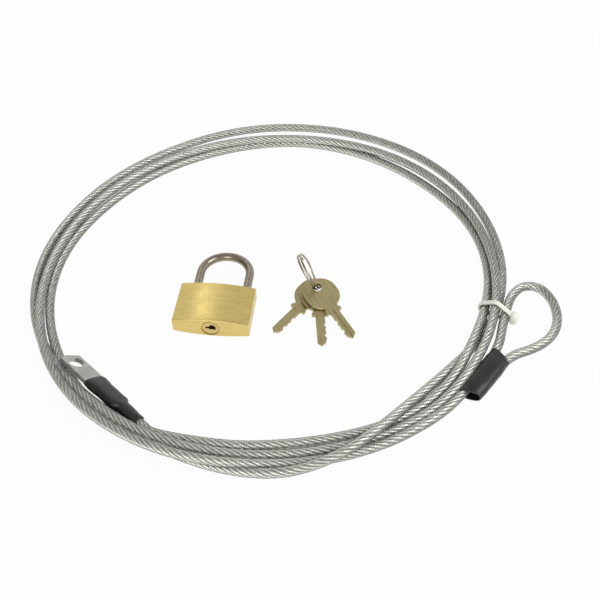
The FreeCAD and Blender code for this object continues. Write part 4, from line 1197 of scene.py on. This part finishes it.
@dataclass
class TieStrap:
    """The nylon tie round the bundle and the near leg of the eye."""

    angle: float = -15.5
    turn: float = -12.0
    pivot: float = 108.0
    band_width: float = 2.2
    band_thickness: float = 0.9
    gap: float = 0.15
    rope_radius: float = 2.0
    head: Triple = (3.6, 4.6, 5.4)
    head_power: float = 3.2
    head_rings: int = 17
    head_around: int = 36
    arc_points: int = 14
    band_power: float = 5.0
    band_around: int = 16

    def matrix(self, coil: CoilRoute) -> Matrix:
        """From the tie's frame, X outwards from the coil's middle, to the frame's, in millimetres.

        Args:
            coil: The coil that it goes round.

        Returns:
            The matrix.
        """
        pivot = Vector((*coil.centre, 0.0)) + polar(self.angle) * self.pivot + LAYOUT_TO_FRAME
        return (Matrix.Translation(pivot) @ Matrix.Rotation(math.radians(self.angle + self.turn), 4, "Z")
                @ Matrix.Translation((-self.pivot, 0.0, 0.0)))

    @staticmethod
    def crossings(line: np.ndarray, matrix: Matrix) -> list[tuple[float, float]]:
        """Where a line passes the tie's plane: distance outwards and height, in millimetres.

        Args:
            line: The line's points in metres.
            matrix: The tie's frame.

        Returns:
            The places, from the inside out.
        """
        inverse = matrix.inverted()
        own = np.array([inverse @ Vector(p / MM) for p in line])
        found = []
        for a, b in zip(own, own[1:]):
            if a[1] * b[1] < 0 and a[0] > 0:
                place = a + (b - a) * (a[1] / (a[1] - b[1]))
                found.append((float(place[0]), float(place[2])))
        return sorted(found)

    @staticmethod
    def hull(places: list[tuple[float, float]]) -> list[Vector]:
        """The outer places in order, turning left.

        Args:
            places: Places in the tie's plane.

        Returns:
            The corners.
        """
        points = sorted(set(places))

        def half(given: list[tuple[float, float]]) -> list[tuple[float, float]]:
            """One side of the hull.

            Args:
                given: The places in order.

            Returns:
                The corners on that side.
            """
            kept: list[tuple[float, float]] = []
            for p in given:
                while len(kept) > 1 and ((kept[-1][0] - kept[-2][0]) * (p[1] - kept[-2][1])
                                         - (kept[-1][1] - kept[-2][1]) * (p[0] - kept[-2][0])) <= 0:
                    kept.pop()
                kept.append(p)
            return kept[:-1]

        return [Vector(p) for p in half(points) + half(points[::-1])]

    def loop(self, corners: list[Vector], reach: float) -> list[Vector]:
        """A closed line at a distance round the corners: straight runs with round ends.

        Args:
            corners: The corners, turning left.
            reach: The distance.

        Returns:
            The line's points.
        """
        made = []
        for before, corner, after in zip(corners[-1:] + corners[:-1], corners, corners[1:] + corners[:1]):
            first = math.atan2(*((corner - before).yx)) - math.pi / 2
            last = math.atan2(*((after - corner).yx)) - math.pi / 2
            while last < first:
                last += FULL_TURN
            for k in range(self.arc_points):
                angle = first + (last - first) * k / (self.arc_points - 1)
                made.append(corner + Vector((math.cos(angle), math.sin(angle))) * reach)
        return made

    def build_band(self, corners: list[Vector], matrix: Matrix, finish: Finish) -> bpy.types.Object:
        """The band: a closed strap with rounded edges.

        Args:
            corners: The ropes' places that it goes round.
            matrix: The tie's frame.
            finish: What it is finished with.

        Returns:
            The band.
        """
        inner = self.rope_radius + self.gap
        profile = soft_rectangle(self.band_thickness / 2, self.band_width / 2, self.band_power,
                                 self.band_around)
        middle = self.loop(corners, inner + self.band_thickness / 2)
        rings = []
        for before, here, after in zip(middle[-1:] + middle[:-1], middle, middle[1:] + middle[:1]):
            way = (after - before).normalized()
            out = Vector((way.y, -way.x))
            rings.append(np.array([matrix @ Vector((here.x + out.x * p[0], p[1], here.y + out.y * p[0]))
                                   for p in profile]) * MM)
        return mesh_object("tie_band", np.concatenate(rings), closed_tube(rings), finish)

    def build_head(self, leg: tuple[float, float], matrix: Matrix, finish: Finish) -> bpy.types.Object:
        """The head: a rounded block that the band's end runs into.

        Args:
            leg: The place of the rope beside it.
            matrix: The tie's frame.
            finish: What it is finished with.

        Returns:
            The head.
        """
        depth, length, height = self.head
        middle = Vector((leg[0] + self.rope_radius + self.gap + depth / 2, 0.0, leg[1]))
        rings = []
        for angle in np.linspace(-math.pi / 2, math.pi / 2, self.head_rings):
            share = max(math.cos(angle), 0.0) ** (2 / self.head_power)
            rise = math.copysign(abs(math.sin(angle)) ** (2 / self.head_power), angle) * height / 2
            flat = soft_rectangle(depth / 2 * share, length / 2 * share, self.head_power, self.head_around)
            rings.append(np.array([matrix @ (middle + Vector((x, y, rise))) for x, y in flat]) * MM)
        size = self.head_around
        faces = closed_tube(rings)[:-size]
        faces += [tuple(reversed(range(size))), tuple(range((len(rings) - 1) * size, len(rings) * size))]
        return mesh_object("tie_head", np.concatenate(rings), faces, finish)


@dataclass
class Cable:
    """The rope with everything on it."""

    coil: CoilRoute
    eye: EyeSizes
    wire: Finish
    clear: Finish
    zinc: Finish
    shrink: Finish
    nylon: Finish
    ferrule: Finish

    def build(self) -> None:
        coil_points, eye_points = self.coil.points(self.eye), self.eye.points()
        coil_rope, eye_rope = RopeTube("coil", coil_points), RopeTube("eye", eye_points)
        coil_jacket, eye_jacket = coil_rope.jacket(self.clear), eye_rope.jacket(self.clear)
        coil_wires, eye_wires = coil_rope.wires(coil_jacket, self.wire), eye_rope.wires(eye_jacket, self.wire)
        lug = LugEnd()
        tab, lug_sleeve = lug.build_tab(self.zinc), lug.build_sleeve(self.shrink)
        eye_end = EyeEnd(self.eye)
        eye_sleeve, ferrule = eye_end.build_sleeve(self.shrink), eye_end.build_ferrule(self.ferrule)
        tie = TieStrap()
        matrix = tie.matrix(self.coil)
        ropes = tie.crossings(RopeTube.read_line(coil_jacket), matrix)
        leg = tie.crossings(RopeTube.read_line(eye_jacket), matrix)[0]
        corners = tie.hull([ropes[0], max(ropes, key=lambda p: p[1]), leg])
        band, head = tie.build_band(corners, matrix, self.nylon), tie.build_head(leg, matrix, self.nylon)
        for piece, node, slot in (
                (coil_jacket, "cable_coil", "rope"), (eye_jacket, "cable_eye", "rope"),
                (coil_wires, "", "rope"), (eye_wires, "", "rope"), (tab, "cable_lug", "galvanised"),
                (lug_sleeve, "lug_cover", "shrink"), (eye_sleeve, "ferrule_cover", "shrink"),
                (ferrule, "eye_ferrule", "ferrule"), (band, "cable_tie", "nylon"), (head, "", "nylon")):
            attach(piece, "cable")
            if node:
                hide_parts(node)
            log.info("%s built", piece.name)
        mouth = spot(*self.eye.place(0.0, Bore.LIVE))


def dress_node(node: str, finish: Finish) -> None:
    """Gives a CAD node its finish.

    Args:
        node: The node's name.
        finish: What it is finished with.
    """
    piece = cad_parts[node]
    piece.data.materials.clear()
    piece.data.materials.append(finish.build())
    log.info("%s dressed", node)


@dataclass
class Padlock:
    """The padlock, from its CAD nodes."""

    brass: Finish
    plug_brass: Finish
    steel: Finish
    pin: Finish
    spring: Finish

    def build(self) -> None:
        """Dresses each node of the lock."""
        dress_node("padlock_body", self.brass)
        for node in ("key_plug", "chamber_plugs", "bolt_bore_plug"):
            dress_node(node, self.plug_brass)
        dress_node("shackle", self.steel)
        for node in ("heel_pin", "plug_pin", "lock_bolt", *(f"{kind}_pin_{i}" for kind in ("key", "driver")
                                                           for i in range(1, 5))):
            dress_node(node, self.pin)
        for node in ("shackle_spring", "bolt_spring", *(f"pin_spring_{i}" for i in range(1, 5))):
            dress_node(node, self.spring)


@dataclass
class Keys:
    """The three keys and their split ring."""

    blanks: tuple[Finish, Finish, Finish]
    ring: Finish

    def build(self) -> None:
        """Dresses the ring and each key, brushed along its own blade."""
        dress_node("key_ring", self.ring)
        for i, finish in enumerate(self.blanks):
            dress_node(f"key_{i + 1}", finish)


@dataclass
class Studio:
    """Floor, light and camera."""

    lens: float = 50.0
    floor_size: float = 6.0
    floor_colour: Triple = (0.85, 0.85, 0.85)
    white: float = 1.0
    shown: float = 0.94
    world_strength: float = 1.12
    horizon: Triple = (0.90, 0.90, 0.90)
    overhead: Triple = (0.46, 0.46, 0.46)
    shade: Triple = (0.20, 0.17, 0.14)

    def build_floor(self) -> None:
        """A pale floor that the camera and the metal see as white, with a soft shadow."""
        half = self.floor_size / 2
        corners = np.array([(-half, -half, 0.0), (half, -half, 0.0), (half, half, 0.0), (-half, half, 0.0)])
        mesh = bpy.data.meshes.new("floor")
        mesh.from_pydata(corners.tolist(), [], [(0, 1, 2, 3)])
        material = bpy.data.materials.new("floor")
        material.use_nodes = True
        material.node_tree.nodes.clear()
        graph = Graph(material.node_tree)
        path = graph.node("LightPath")
        seen = graph.math("MAXIMUM", path.outputs["Is Camera Ray"], path.outputs["Is Transmission Ray"])
        share = graph.math("MULTIPLY", graph.math("MAXIMUM", seen, path.outputs["Is Glossy Ray"]), self.shown)
        plain = graph.node("BsdfDiffuse")
        graph.feed(self.floor_colour, plain.inputs[0])
        bright = graph.node("Emission")
        graph.feed((1.0, 1.0, 1.0), bright.inputs[0])
        bright.inputs[1].default_value = self.white
        both = graph.blend(share, plain.outputs[0], bright.outputs[0])
        graph.feed(both, graph.node("OutputMaterial").inputs["Surface"])
        mesh.materials.append(material)
        add_object("floor", mesh)

    def build_world(self) -> None:
        """A soft sky: brighter at the horizon than overhead, darker low on the left, white to the camera."""
        world = bpy.data.worlds.new("studio")
        world.use_nodes = True
        bpy.context.scene.world = world
        graph = Graph(world.node_tree)
        parts = graph.node("SeparateXYZ")
        graph.feed(graph.node("TexCoord").outputs["Generated"], parts.inputs[0])
        overhead = graph.span(parts.outputs[2], (0.35, 0.95), (0.0, 1.0))
        sky = graph.mix(overhead, self.horizon, self.overhead)
        shaded = graph.span(parts.outputs[0], (-0.95, -0.45), (1.0, 0.0))
        background = world.node_tree.nodes["Background"]
        lit = graph.mix(shaded, sky, self.shade)
        seen = graph.node("LightPath").outputs["Is Camera Ray"]
        graph.feed(graph.mix(seen, lit, (1.0 / self.world_strength,) * 3), background.inputs[0])
        background.inputs[1].default_value = self.world_strength

    @staticmethod
    def lamp(name: str, place: Triple, size: float, power: float) -> None:
        """A square soft light that looks at the object.

        Args:
            name: The light's name.
            place: Where it stands, in metres.
            size: Its side in metres.
            power: Its power in watts.
        """
        light = bpy.data.lights.new(name, "AREA")
        light.shape = "SQUARE"
        light.size = size
        light.energy = power
        made = add_object(name, light)
        made.location = place
        made.rotation_euler = (-Vector(place)).to_track_quat("-Z", "Y").to_euler()

    def build_camera(self) -> None:
        """The camera at the photograph's place."""
        data = bpy.data.cameras.new("camera")
        data.lens = self.lens
        made = add_object("camera", data)
        made.location = spot(*EYE_POINT)
        made.rotation_euler = (spot(0.0, 0.0, 0.0) - made.location).to_track_quat("-Z", "Y").to_euler()
        bpy.context.scene.camera = made

    def build(self) -> None:
        """Builds the whole stage."""
        self.build_floor()
        self.build_world()
        self.lamp("right_light", (0.60, -0.10, 0.70), 0.5, 2.6)
        self.lamp("front_light", (-0.20, -0.80, 0.50), 0.5, 1.6)
        self.lamp("back_light", (-0.20, 0.68, 0.70), 0.14, 0.09)
        self.build_camera()
        bpy.context.scene.view_settings.view_transform = "Standard"


def main() -> None:
    """Builds the whole scene in order."""
    logging.basicConfig(level=logging.INFO, format="%(levelname)s %(message)s")
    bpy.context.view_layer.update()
    Finish.effects = Effects()
    Studio().build()
    Cable(coil=CoilRoute(), eye=EyeSizes(),
          # Of the rope's colours, the first two are painted shade: in the valleys between the strands and in
          # the lines between the wires.
          wire=WireRope("rope_wire", valley_shade=(0.36, 0.37, 0.33), gap=(0.86, 0.87, 0.80),
                        wire=(1.0, 1.0, 0.95)),
          clear=ClearJacket("clear_jacket"),
          zinc=DullMetal("galvanised_lug", dark=(0.36, 0.38, 0.35), light=(0.48, 0.50, 0.46)),
          shrink=ShrinkSleeve("shrink_sleeve"), nylon=MilkyNylon("tie_nylon"),
          ferrule=DullMetal("pressed_aluminium", dark=(0.62, 0.63, 0.64), light=(0.76, 0.77, 0.78))).build()
    turn = (0.0, 0.0, math.radians(PADLOCK_TURN))
    Padlock(brass=BrushedMetal("brushed_brass", dark=(0.62, 0.47, 0.15), light=(0.82, 0.66, 0.26), turn=turn,
                                gloss=(0.18, 0.26), relief=0.5),
            plug_brass=BrushedMetal("plug_brass", dark=(0.60, 0.45, 0.17), light=(0.76, 0.60, 0.26),
                                    turn=turn, length=0.4),
            steel=BrushedMetal("polished_steel", dark=(0.21, 0.175, 0.13), light=(0.36, 0.325, 0.265),
                               gloss=(0.07, 0.13), relief=0.1),
            pin=DullMetal("turned_brass", dark=(0.60, 0.46, 0.20), light=(0.74, 0.60, 0.30)),
            spring=DullMetal("spring_wire", dark=(0.50, 0.50, 0.50), light=(0.66, 0.66, 0.66))).build()
    blanks = tuple(BrushedMetal(f"key_blank_{i + 1}", dark=(0.38, 0.32, 0.15), light=(0.55, 0.48, 0.27),
                                turn=(0.0, 0.0, math.radians(-heading)), streaks=1400.0)
                   for i, heading in enumerate(KEY_HEADINGS))
    Keys(blanks=blanks, ring=DullMetal("ring_nickel", dark=(0.30, 0.275, 0.21), light=(0.43, 0.40, 0.32),
                                       gloss=(0.16, 0.26))).build()


if __name__ == "__main__":
    main()
